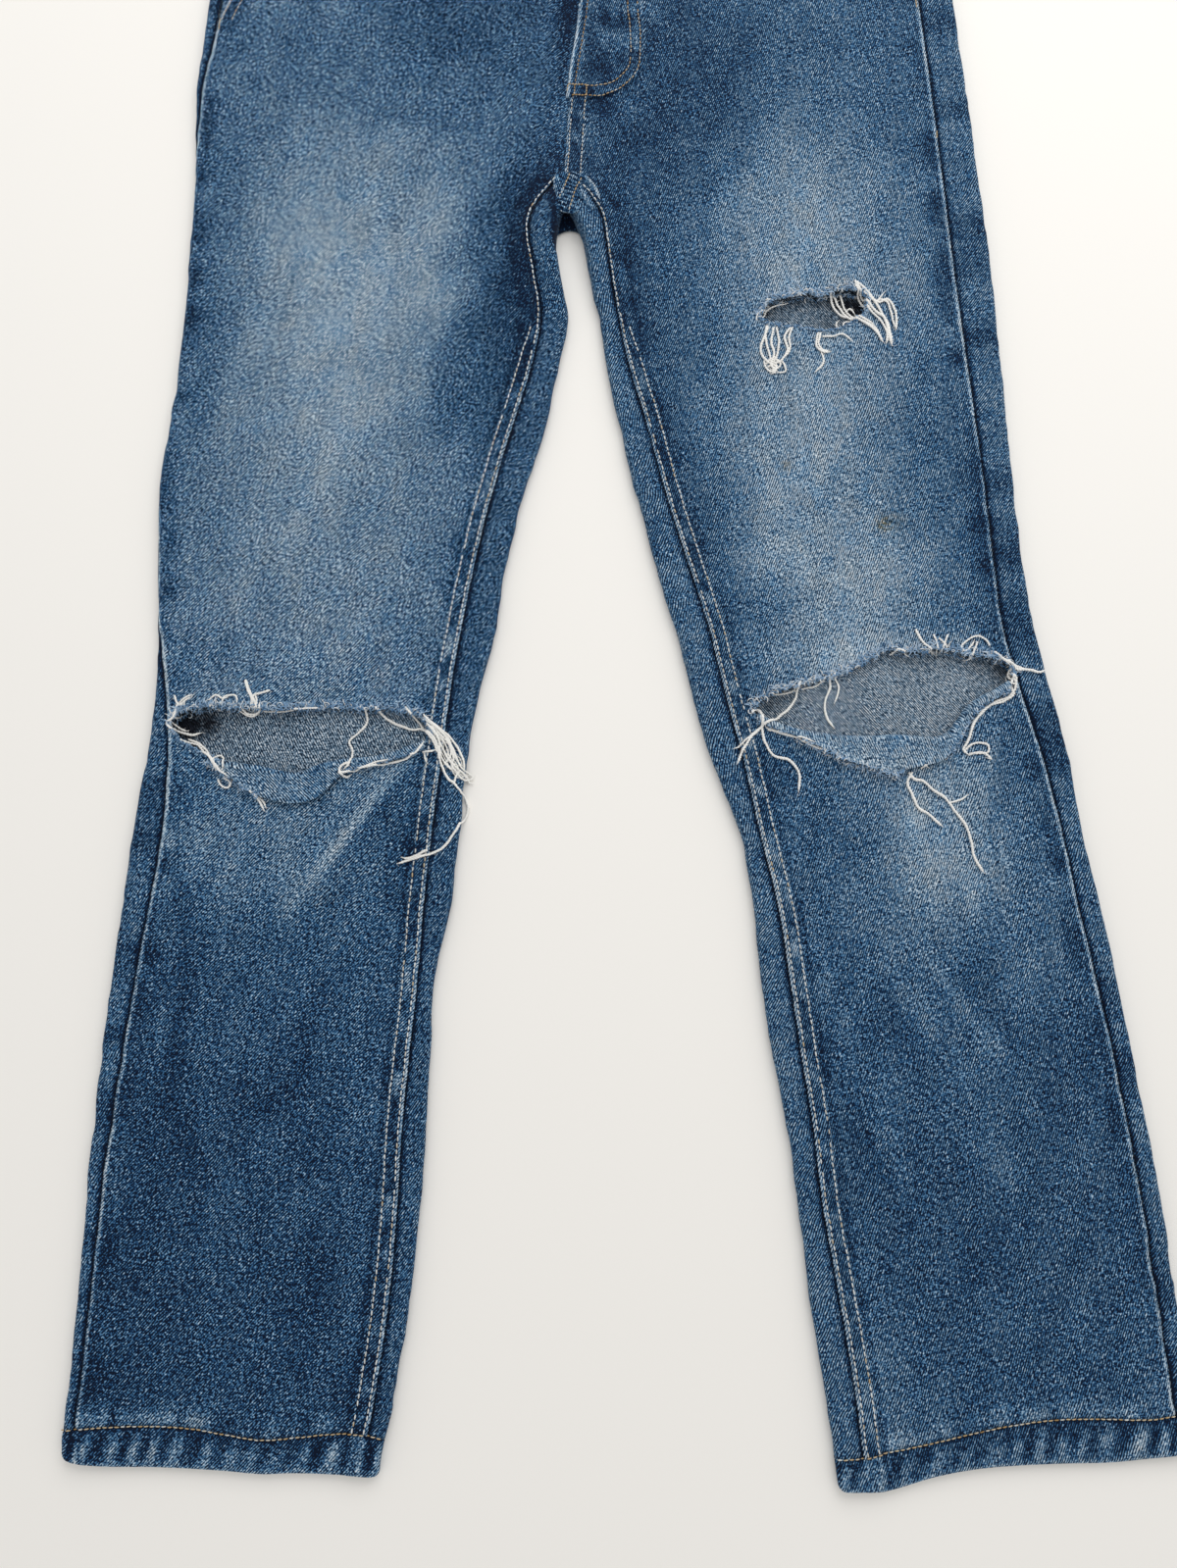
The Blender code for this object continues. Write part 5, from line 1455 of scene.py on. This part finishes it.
LipStop = namedtuple("LipStop", "x fold edge lift")
RIGHT_LIP = table(
    LipStop,
    (-213, -358.5, -360, 0.3), (-207, -359.5, -364, 0.8), (-202, -361, -368.5, 1),
    (-194, -362.5, -373.5, 1.2), (-185, -363.5, -378.5, 1.3), (-173, -366.5, -382.5, 1.8),
    (-162, -367.5, -383.5, 2), (-151, -363, -380.5, 2), (-141, -360.5, -371, 1.6),
    (-133, -359.5, -366, 1.2), (-123, -358.5, -363.4, 1), (-110, -356, -360.5, 0.9),
    (-99, -352, -357, 0.7), (-92, -349, -352.5, 0.4),
)
LEFT_LIP = table(
    LipStop,
    (95, -333, -336, 0.4), (98, -335, -338.5, 0.6), (105, -338, -341.8, 0.8), (118, -342.5, -346.5, 1),
    (135, -345.5, -354.5, 1.2), (146, -346.5, -360, 1.4), (158, -346.5, -363.5, 1.5),
    (170, -346, -367, 1.6), (176, -346, -364.8, 1.8), (196, -347, -360.2, 1.6),
    (203, -343.5, -354.5, 1.2), (209, -336, -345, 0.9), (214, -329, -336, 0.8),
    (222, -323.5, -328, 0.7), (230, -319.5, -324, 0.7), (238, -314.5, -318.5, 0.5),
)


def make_lip(leg, stops, fringe, seed):
    """Flap from the tear's lower edge; fringe is the stretch of x where its end is frayed."""
    xs = np.linspace(stops[0].x, stops[-1].x, int((stops[-1].x - stops[0].x) / 0.8))
    fold, edge, lift = (along(stops, column, xs, "x")[:, None] for column in ("fold", "edge", "lift"))
    v = np.array([[0, 0.03, 0.07, 0.12, 0.18, 0.26, 0.36, 0.48, 0.6, 0.72, 0.82, 0.9, 0.95, 0.98, 1.0]])
    x = np.repeat(xs[:, None], v.shape[1], axis=1)
    frayed = bell(np.clip(np.abs(xs - sum(fringe) / 2) - (fringe[1] - fringe[0]) / 2, 0, None), 3)[:, None]
    jag = 0.8 * soft_noise(x, x * 0, 1.6, seed) + 0.8 * soft_noise(x, x * 0, 4.3, seed + 1)
    edge = edge + frayed * jag * 0.8
    reach = fold - edge
    y = fold + 0.9 - (reach + 0.9) * v
    x = x + 0.5 * soft_noise(x, y, 8, seed + 2) * v
    from_fold = (reach + 0.9) * v
    base = cloth_top(leg, x, y)
    swell = 1.55 * (1 - bell(from_fold, 1.3)) * (1 - 0.35 * v) + 0.55 * bell(from_fold - 1.8, 1.3)
    z = base - 0.75 + 1.0 * (1 - bell(from_fold, 1.1)) + swell + lift * v**2 * 0.9
    z = z + (0.35 * soft_noise(x, y, 9, seed + 3) + 0.2 * soft_noise(x, y, 4, seed + 4)) * v
    z = z - 0.45 * bell((1 - v) * reach, 0.6)
    y_cloth = 2 * float(fold.mean()) - y
    fade_and_shade = (0.46 if leg is RIGHT else 0.58) + 0.10 * v + 0.06 * soft_noise(x, y, 7, seed + 5)
    # The frayed end is paler; the faint pale band along the fold's rounded top is a painted highlight.
    fade_and_shade = fade_and_shade + 0.24 * frayed * bell((1 - v) * reach, 2.2) + 0.06 * bell(from_fold - 2.0, 1.0)
    wear_and_shade = wear_and_shade_of(x, fade_and_shade, 0.8 - 0.4 * frayed * v)
    cloth = flat_cloth(leg, x, y_cloth)
    materials = (DENIM_REVERSE, DENIM_FACE)
    return cloth_piece(f"knee_lip_cloth_{leg.name}", x, y, z, cloth, wear_and_shade, materials, DENIM * 0.85, flip=True)


lips = {
    "right": make_lip(RIGHT, RIGHT_LIP, (-212, -184), 161),
    "left": make_lip(LEFT, LEFT_LIP, (120, 172), 171),
}
for name, lip in lips.items():
    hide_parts(f"knee_lip_{name}")


# --- Blue fluff of the torn edges ----------------------------------------------------------
# Cut warp yarns curl up in a dense blue fringe along the tears, a few millimetres wide.

FRINGE_STEP = 0.3
FIBRE_STOPS = [
    (0.0, (0.02, 0.06, 0.14)),
    (0.3, (0.07, 0.17, 0.32)),
    (0.6, (0.22, 0.38, 0.58)),
    (0.85, (0.50, 0.63, 0.77)),
    (1.0, (0.82, 0.82, 0.80)),
]
FRAYED_FIBRE = toned_material("frayed_fibre", FIBRE_STOPS, 0.95, 0.1)


def turned(direction, angle):
    """A direction on the table turned by an angle."""
    c, s = math.cos(angle), math.sin(angle)
    return np.array([direction[0] * c - direction[1] * s, direction[0] * s + direction[1] * c])


def curly_fibres(line, height, seed, tone, reach, outward=1.0, step=FRINGE_STEP, thick=0.3):
    """Short curling fibres rooted along a line of x and y, leaning to its left side."""
    chance = np.random.default_rng(seed)
    line = spaced(line, step)
    heading = np.gradient(line, axis=0)
    heading /= np.maximum(np.linalg.norm(heading, axis=1), 1e-6)[:, None]
    left = np.stack([-heading[:, 1], heading[:, 0]], axis=1) * outward
    made = []
    for point, ahead, away in zip(line, heading, left):
        base = point + away * chance.uniform(-0.6, 0.45 * reach) + ahead * chance.normal(0, 0.5)
        length = reach * chance.uniform(0.45, 1.1)
        turn = chance.normal(0, 2.4)
        angle = chance.normal(0, 0.8)
        curl = turn / 5
        direction = away * math.cos(angle) + ahead * math.sin(angle)
        z = max(height(*base), 0.2) + thick * 1.3
        points, spot = [], np.array([*base, z])
        climb = chance.uniform(0.15, 0.8)
        for i in range(6):
            points.append(spot.copy())
            direction = turned(direction, curl)
            hop = length / 5
            spot = spot + (*(direction * hop), climb * hop * (1 - i / 2.4) * 0.8)
        radii = thick * np.array([1, 1, 1, 0.95, 0.8, 0.4]) * chance.uniform(0.7, 1.25)
        made.append((points, radii, np.clip(tone + chance.normal(0, 0.22), 0, 1)))
    return made


def edge_between(outline, x0, x1, upper):
    """Stretch of a tear's outline between two x, on its upper or its lower side."""
    first = outline[:, 0].argmin()
    rolled = np.roll(outline, -first, axis=0)
    turn = rolled[:, 0].argmax()
    half_a, half_b = rolled[: turn + 1], rolled[turn:][::-1]
    top = half_a if half_a[:, 1].mean() > half_b[:, 1].mean() else half_b
    low = half_b if top is half_a else half_a
    chosen = top if upper else low
    return chosen[(chosen[:, 0] >= x0) & (chosen[:, 0] <= x1)]


def lip_edge(stops, x0, x1):
    xs = np.linspace(x0, x1, 80)
    return np.column_stack([xs, along(stops, "edge", xs, "x")])


right_under = surface_under([front_cloth["right"], back_cloth["right"], lips["right"], inseams["right"][0]])
left_under = surface_under([front_cloth["left"], back_cloth["left"], lips["left"], inseams["left"][0]])
right_knee = TORN_EDGES["right"][0]
left_knee, left_thigh = TORN_EDGES["left"]

fringe = []
for rows, (outline, under, x0, x1, tone) in enumerate(
    [
        (right_knee, right_under, -236, -184, 0.50),
        (right_knee, right_under, -184, -88, 0.42),
        (left_knee, left_under, 90, 150, 0.55),
        (left_knee, left_under, 150, 242, 0.48),
        (left_thigh, left_under, 100, 168, 0.50),
    ]
):
    top = edge_between(outline, x0, x1, True)
    fringe += curly_fibres(top, under, 181 + rows, tone + 0.24, 5.0)
    fringe += curly_fibres(top, under, 191 + rows, tone + 0.1, 2.0, -1.0, 0.4)
fringe += curly_fibres(edge_between(left_thigh, 100, 168, False), left_under, 201, 0.5, 2.6, -1.0)
fringe += curly_fibres(lip_edge(RIGHT_LIP, -215, -182), right_under, 202, 0.66, 3.0, -1.0)
fringe += curly_fibres(lip_edge(RIGHT_LIP, -135, -92), right_under, 203, 0.5, 2.2, 1.0, 0.35)
fringe += curly_fibres(edge_between(right_knee, -236, -205, False), right_under, 204, 0.6, 2.4, -1.0, 0.4)
fringe += curly_fibres(lip_edge(LEFT_LIP, 118, 175), left_under, 205, 0.72, 3.4, -1.0, 0.2)
fringe += curly_fibres(lip_edge(LEFT_LIP, 200, 238), left_under, 206, 0.62, 2.6, -1.0, 0.35)
fringe += curly_fibres(lip_edge(LEFT_LIP, 95, 118), left_under, 207, 0.6, 1.8, -1.0, 0.4)
blue_fluff = tubes("blue_fluff", fringe, FRAYED_FIBRE, 3)


# --- Loose white yarns ---------------------------------------------------------------------
# The undyed weft hangs out of the tears in long pale yarns, two plies twisted together and
# hairy, that lie over the cloth as they fell.

PLY_RADIUS = 0.43
PLY_OFFSET = 0.35
TWIST_PITCH = 3.2
YARN_STEP = 0.62

# size is the yarn's thickness beside a full one
Yarn = namedtuple("Yarn", "size route")
THIGH_YARNS = table(
    Yarn,
    (1, [(106, -97), (105, -105), (107, -115), (108, -121)]),
    (1, [(107, -98), (103, -107), (102, -114), (106, -120), (111, -122)]),
    (1, [(110, -98), (108.5, -107), (110, -115), (108, -122), (112, -126)]),
    (1, [(111.5, -98), (113, -106), (112, -114), (109, -121)]),
    (1, [(120, -98), (116.5, -104), (118, -112), (114, -119), (108, -121)]),
    (0.9, [(121, -98), (119, -105), (119.5, -112), (115, -118)]),
    (0.9, [(104, -119), (104.5, -123), (108, -126), (111, -124), (110, -120), (106, -120)]),
    (0.9, [(105, -121), (108, -118), (112, -119), (113.5, -122), (110, -125), (107, -124)]),
    (0.9, [(106, -123), (109, -121.5), (111, -123.5), (109.5, -127), (107, -127.5)]),
    (0.8, [(113.5, -118.5), (116, -122), (116, -126), (110, -127)]),
    (1, [(136.5, -101), (135, -109), (138, -113), (143, -114)]),
    (0.9, [(138, -101), (136.5, -108), (139, -112.5), (143.5, -113)]),
    (0.8, [(138, -113), (139, -120), (133.5, -127)]),
    (0.8, [(139, -103.5), (145, -103.5), (151, -102), (157, -107)]),
    (1, [(145, -75), (147, -83.5), (151.5, -88.5), (156, -90), (163, -94), (170, -98), (174, -107)]),
    (1, [(147, -75), (149.5, -82), (153, -87.5), (158, -91.5), (165, -95.5), (171, -101), (175, -108)]),
    (0.9, [(151, -75), (153.5, -84), (157, -89), (164, -92.5), (170, -96.5)]),
    (1.1, [(159, -69), (163, -77), (170, -87), (175, -91), (178, -97), (180, -110)]),
    (1.1, [(160, -70), (165, -75), (170, -81), (174.5, -89), (177, -95), (179, -108)]),
    (1, [(159, -71), (162, -78), (167.5, -87), (173.5, -93.5), (177, -101), (176.5, -109)]),
    (1, [(164, -76), (172, -82), (178, -80), (181, -83.5), (183, -90), (183, -96), (182.5, -100)]),
    (0.9, [(170, -82), (174, -80.5), (178, -82), (180, -88), (181, -94), (182.5, -99)]),
    (0.8, [(173, -80), (177, -75)]), (0.9, [(152, -96.5), (153, -93), (158, -92)]),
    (0.8, [(154, -86), (157, -84), (160, -88)]), (0.8, [(148, -98), (148.5, -93), (150.5, -91)]),
    (0.7, [(101, -91), (104, -90), (108, -84), (114, -81.5), (120, -80.5)]),
    (0.7, [(100, -93), (101, -89), (105, -86), (106, -82)]),
)
RIGHT_KNEE_YARNS = table(
    Yarn,
    (0.9, [(-194, -313), (-192.5, -318.5), (-190, -324), (-190, -330)]),
    (0.9, [(-193.6, -313.5), (-191, -320), (-188, -326), (-186, -331)]),
    (0.9, [(-180, -319), (-185, -321), (-189, -322.5), (-188.5, -328)]),
    (0.8, [(-188, -321.5), (-187, -327), (-190, -331)]),
    (1, [(-196, -329), (-193, -332), (-189, -332.5), (-185.5, -330), (-185, -325)]),
    (0.8, [(-198, -330), (-192, -333.5), (-186.5, -332.5)]),
    (0.8, [(-184, -330.5), (-175.5, -330.8), (-166, -330), (-156, -329.4), (-148, -329)]),
    (0.9, [(-233, -322.5), (-230, -328), (-226, -325), (-223, -323)]),
    (0.8, [(-230, -327), (-226, -323), (-222, -322)]),
    (0.8, [(-214, -325), (-210, -322), (-206, -324), (-203, -322.5)]),
    (0.8, [(-207, -326), (-205, -322.5), (-199, -322), (-198, -327)]),
    (1, [(-231, -327), (-232.5, -335), (-236.5, -338), (-234, -341), (-228, -343), (-223, -344),
      (-218, -342.5)]),
    (0.8, [(-231, -334), (-234, -337), (-231, -340), (-226, -342)]),
    (1, [(-228.5, -348), (-221, -349.5), (-217, -353), (-211.5, -358), (-207, -364), (-201, -368.5)]),
    (0.9, [(-226, -346.5), (-219, -349.5), (-213, -355.5), (-208.5, -361), (-204.5, -366)]),
    (0.8, [(-208, -365), (-209.5, -357.5), (-206.5, -356), (-204, -360), (-203.5, -365.5)]),
    (0.9, [(-207, -370), (-205, -373.5), (-201, -374.5), (-200, -371), (-204, -369.5)]),
    (0.9, [(-188, -377), (-184, -381), (-180, -388)]), (0.8, [(-187, -378), (-181.5, -382), (-179, -387)]),
    (1, [(-126, -329), (-125, -337), (-130, -343), (-135, -348), (-133, -353), (-133, -361),
      (-136, -365)]),
    (1.1, [(-133, -361), (-137, -362.5), (-138.5, -366), (-135, -369), (-132, -367)]),
    (1.1, [(-120, -329), (-113, -335.5), (-106, -339), (-99, -341), (-94, -340.8), (-89, -344),
      (-85, -349.5), (-83, -359), (-81, -364.5), (-78, -370), (-75, -372), (-71, -377), (-68, -383),
      (-68, -389), (-72, -396), (-76, -403), (-81, -409), (-88, -412), (-97, -414.5), (-106, -417)]),
    (1, [(-89, -409.5), (-95, -412.5), (-100, -414), (-104, -413.5)]),
    (1, [(-103, -329), (-96, -337), (-92, -342), (-87, -348), (-84, -356)]),
    (0.9, [(-93, -333), (-88, -338), (-81, -345), (-76, -353), (-72, -362), (-68, -366), (-64.5, -368)]),
    (0.9, [(-92, -336), (-86, -340), (-79, -344.5), (-74, -351), (-70, -359), (-69.5, -366)]),
    (0.9, [(-91, -338), (-86, -344), (-82, -352), (-78, -359), (-73, -364), (-66, -370)]),
    (0.9, [(-88, -340), (-84, -347), (-83, -355), (-80, -361), (-75, -366)]),
    (0.9, [(-85, -343), (-79, -349), (-75.5, -357), (-76, -363), (-72, -367)]),
    (0.8, [(-90, -337), (-83, -341.5), (-78, -348), (-77, -356), (-81, -362)]),
    (0.8, [(-74, -366), (-70, -370), (-66, -369), (-63.5, -366)]),
    (0.9, [(-75, -372), (-73, -367), (-71, -366), (-67, -371), (-64, -371.5)]),
    (0.8, [(-93, -354.5), (-88, -354), (-84.5, -353)]), (0.8, [(-92, -355), (-91, -359), (-90, -361.5)]),
    (1, [(-139, -367), (-131, -365.5), (-123, -363), (-115, -362), (-109.5, -361), (-103, -359.5),
      (-99, -357), (-95, -354), (-92, -349)]),
    (0.8, [(-128, -364.5), (-119, -361), (-111, -359.5)]),
    (0.45, [(-92, -335), (-87, -338), (-82, -343), (-79, -348), (-75, -354), (-73, -360)]),
    (0.45, [(-91, -339), (-86, -341), (-83, -346), (-79, -353), (-77, -360), (-71, -363)]),
    (0.45, [(-90, -336), (-84, -344), (-80, -350), (-78, -357), (-74, -361), (-72, -367)]),
    (0.4, [(-89, -341), (-85, -346), (-80, -349), (-76, -352), (-74, -359), (-69, -364)]),
    (0.4, [(-87, -339), (-82, -347), (-81, -354), (-77, -358), (-76, -365), (-70, -368)]),
    (0.4, [(-86, -344), (-82, -344), (-78, -351), (-79, -358), (-75, -363), (-68, -371)]),
    (0.4, [(-84, -342), (-80, -346), (-77, -350), (-75, -357), (-72, -358), (-70, -364)]),
    (0.4, [(-84, -351), (-81, -357), (-78, -362), (-73, -369), (-67, -367), (-65, -370)]),
)
LEFT_KNEE_YARNS = table(
    Yarn,
    (1.1, [(119.5, -314), (116.5, -325), (107.5, -334), (98, -339.5), (89, -349), (83, -361.5)]),
    (0.9, [(96, -341), (89, -347), (85, -351), (81, -353)]),
    (1.1, [(94, -329), (97.5, -331), (97.5, -338), (98, -345), (101, -353), (105, -357), (112, -359),
      (117, -364.5), (118, -370), (117, -377.5)]),
    (0.9, [(92, -332), (95, -329.5), (98, -333), (97, -339)]),
    (0.9, [(100, -340.5), (108, -343), (116.5, -346), (126, -351), (134, -354)]),
    (0.8, [(101, -341.5), (110, -344.5), (119, -346.5), (127, -349.5)]),
    (1, [(136, -310), (137, -317), (134, -325), (135, -334), (139, -340.5)]),
    (0.8, [(139, -309), (142, -317), (139.5, -326)]),
    (0.8, [(103, -321), (109, -320.5), (115, -319.5), (118.5, -316.5)]),
    (0.8, [(121, -317.5), (127, -316.5), (131, -314.5), (135, -310.5)]),
    (0.8, [(172, -297.5), (176, -295.5), (180, -297.5), (184, -299)]),
    (1, [(186, -284), (189, -291), (194, -295.5), (197, -297)]),
    (0.9, [(196, -287), (197.5, -292), (198.5, -298)]), (0.9, [(204, -287), (201.5, -293), (200, -297)]),
    (0.8, [(199, -289), (202, -292.5), (203.5, -296)]),
    (0.9, [(228, -293), (225, -289), (221, -287.5), (215.5, -290), (211.5, -293.5), (213.5, -296.5),
      (218, -292.5), (219.5, -289.5)]),
    (0.8, [(221, -291), (219, -295), (217, -300), (214, -301)]),
    (0.8, [(229, -296), (232, -298), (234, -302)]),
    (1.1, [(231, -297), (236, -301.5), (241, -304), (243, -307), (250, -307.5), (255, -309),
      (259, -307)]),
    (1, [(237, -300), (240, -303.5), (246, -306.8), (252, -307.5)]),
    (1, [(241, -304), (238.5, -310), (241, -314), (240.5, -319), (236, -323.5), (229, -326), (223, -331),
      (217, -337), (214, -345), (211, -352)]),
    (1, [(240, -306), (240.5, -311.5), (238, -316.5), (240, -321.5), (234, -325.5), (226, -328),
      (219, -334.5), (216, -340), (213, -348), (210, -353), (213, -356.5)]),
    (0.8, [(239, -308), (242, -312), (240.5, -315.5), (237, -312)]),
    (0.9, [(211, -353.5), (214, -350.5), (219, -349.5), (223.5, -351), (223, -355), (218, -355.5),
      (213.5, -355)]),
    (0.8, [(213, -356), (217, -355), (221, -355.5), (224.5, -359), (221.5, -358)]),
    (1.1, [(181, -366), (178, -372), (180, -378), (183.5, -386), (189, -389.5), (193.5, -394),
      (197, -397)]),
    (1.1, [(179, -366), (182, -370), (187, -371), (192, -376), (198, -379.5), (200.5, -383), (204, -388),
      (209, -396), (212, -406), (213, -413), (216, -419), (218.5, -422.5)]),
    (0.8, [(200.5, -383), (207, -381.5), (212, -378.5)]),
    (0.8, [(186, -364), (188, -362.5), (190.5, -364)]),
)
YARN_STOPS = [(0.0, (0.82, 0.80, 0.77)), (1.0, (0.95, 0.94, 0.90))]
UNDYED_YARN = toned_material("undyed_yarn", YARN_STOPS, 0.9, 0.15)


def lay_yarns(yarns, under, seed):
    """Twisted plies and loose hairs of yarns dropped on what lies under them."""
    chance = np.random.default_rng(seed)
    plies, hairs = [], []
    for number, yarn in enumerate(yarns):
        route = spaced(smooth_line(yarn.route), YARN_STEP)
        sway = soft_noise(route[:, 0], route[:, 1], 2.6, seed + number)
        shift = soft_noise(route[:, 1], route[:, 0], 2.6, seed + number + 50)
        route = route + 0.22 * np.stack([sway, shift], 1)
        ground = np.array([under(*point) for point in route])
        reach = 7
        padded = np.pad(ground, reach, mode="edge")
        window = np.hanning(2 * reach + 1)
        smooth = np.convolve(padded, window / window.sum(), mode="valid")
        arch = 0.35 + 0.45 * (1 + soft_noise(route[:, 0], route[:, 1], 11, seed + number + 90))
        z = np.maximum(smooth, ground) + 0.55 * yarn.size + arch * 0.5
        z[:3] -= 0.35
        run = np.arange(len(route)) * YARN_STEP
        thickness = yarn.size * (1 + 0.16 * soft_noise(run, run * 0, 4, seed + number + 7))
        taper = np.clip((run[-1] - run) / 3.0, 0.25, 1)
        heading = np.gradient(route, axis=0)
        heading /= np.maximum(np.linalg.norm(heading, axis=1), 1e-6)[:, None]
        across = np.stack([-heading[:, 1], heading[:, 0]], axis=1)
        angle = run / TWIST_PITCH * 2 * math.pi + 0.5 * soft_noise(run, run * 0, 5, seed + number + 3)
        tone = 0.75 + chance.normal(0, 0.12)
        for phase in (0, math.pi):
            off = PLY_OFFSET * thickness * taper
            xy = route + across * (off * np.cos(angle + phase))[:, None]
            ply = np.column_stack([xy, z + off * np.sin(angle + phase)])
            plies.append((ply, PLY_RADIUS * thickness * taper, tone + 0.12 * math.cos(phase)))
        for i in np.flatnonzero(chance.random(len(route)) < 0.42):
            turn = chance.uniform(-1.2, 1.2)
            direction = heading[i] * chance.choice([-1, 1]) * math.cos(turn) + across[i] * math.sin(turn)
            length = chance.uniform(0.8, 2.8)
            bend = chance.normal(0, 0.7)
            spot = np.array([*route[i], z[i] + 0.1])
            points = []
            for _ in range(4):
                points.append(spot.copy())
                direction = turned(direction, bend / 3)
                spot = spot + (*(direction * length / 3), chance.normal(0, 0.12))
            hairs.append((points, [0.09, 0.08, 0.07, 0.03], tone))
    return plies, hairs


fray_sources = [
    ("fray_thigh_left", THIGH_YARNS, left_under),
    ("fray_knee_right", RIGHT_KNEE_YARNS, right_under),
    ("fray_knee_left", LEFT_KNEE_YARNS, left_under),
]
for number, (node, yarns, under) in enumerate(fray_sources):
    plies, hairs = lay_yarns(yarns, under, 211 + 120 * number)
    yarn_piece = tubes(node.replace("fray", "yarns"), plies, UNDYED_YARN)
    hair_piece = tubes(node.replace("fray", "hairs"), hairs, UNDYED_YARN, 3)
    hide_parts(node)


# --- Table, light and camera ---------------------------------------------------------------
# The garment lies on a pale table in soft daylight that comes from above and a little from
# the waist's side. The camera looks down on it, a little above the knees.

CAMERA_HEIGHT = 655.0
CAMERA_Y = -474.25
CAMERA_TILT = 8.9
CAMERA_LENS = 27.02

bpy.ops.object.select_all(action="DESELECT")
bpy.ops.mesh.primitive_plane_add(size=8.0, location=(0, 0, -0.0002))
table_top = bpy.context.object
table_top.name = "table_top"
paper, paper_tree, paper_shader = new_material("table_paper")
paper_place = add_node(paper_tree, "TexCoord").outputs["Object"]
paper_grain = add_node(paper_tree, "TexNoise", {"Vector": paper_place, "Scale": 900.0, "Detail": 2.0})
paper_bump = add_node(
    paper_tree, "Bump", {"Strength": 0.15, "Distance": 0.0002, "Height": paper_grain.outputs["Fac"]}
)
paper_tree.links.new(paper_bump.outputs["Normal"], paper_shader.inputs["Normal"])
paper_shader.inputs["Base Color"].default_value = (0.93, 0.905, 0.86, 1)
paper_shader.inputs["Roughness"].default_value = 0.9
paper_shader.inputs["Specular IOR Level"].default_value = 0.1
table_top.data.materials.append(paper)

world = bpy.context.scene.world or bpy.data.worlds.new("daylight")
bpy.context.scene.world = world
world.use_nodes = True
sky = world.node_tree.nodes["Background"]
sky.inputs["Color"].default_value = (1.0, 1.0, 1.0, 1)
sky.inputs["Strength"].default_value = 0.685

window = bpy.data.lights.new("window", "AREA")
window.shape = "RECTANGLE"
window.size = 1.8
window.size_y = 1.2
window.energy = 12.8
window_lamp = bpy.data.objects.new("window", window)
window_lamp.location = (0.34, 1.0, 1.1)
aim = Vector((0.0, -0.1, 0.0)) - window_lamp.location
window_lamp.rotation_euler = aim.to_track_quat("-Z", "Y").to_euler()
bpy.context.scene.collection.objects.link(window_lamp)

lens = bpy.data.cameras.new("camera")
lens.lens = CAMERA_LENS
lens.sensor_width = 36.0
lens.clip_start = 0.01
camera = bpy.data.objects.new("camera", lens)
camera.location = (SHIFT_X * MM, (SHIFT_Y + CAMERA_Y) * MM, CAMERA_HEIGHT * MM)
camera.rotation_euler = (math.radians(CAMERA_TILT), 0, 0)
bpy.context.scene.collection.objects.link(camera)
bpy.context.scene.camera = camera
bpy.context.scene.view_settings.view_transform = "Standard"
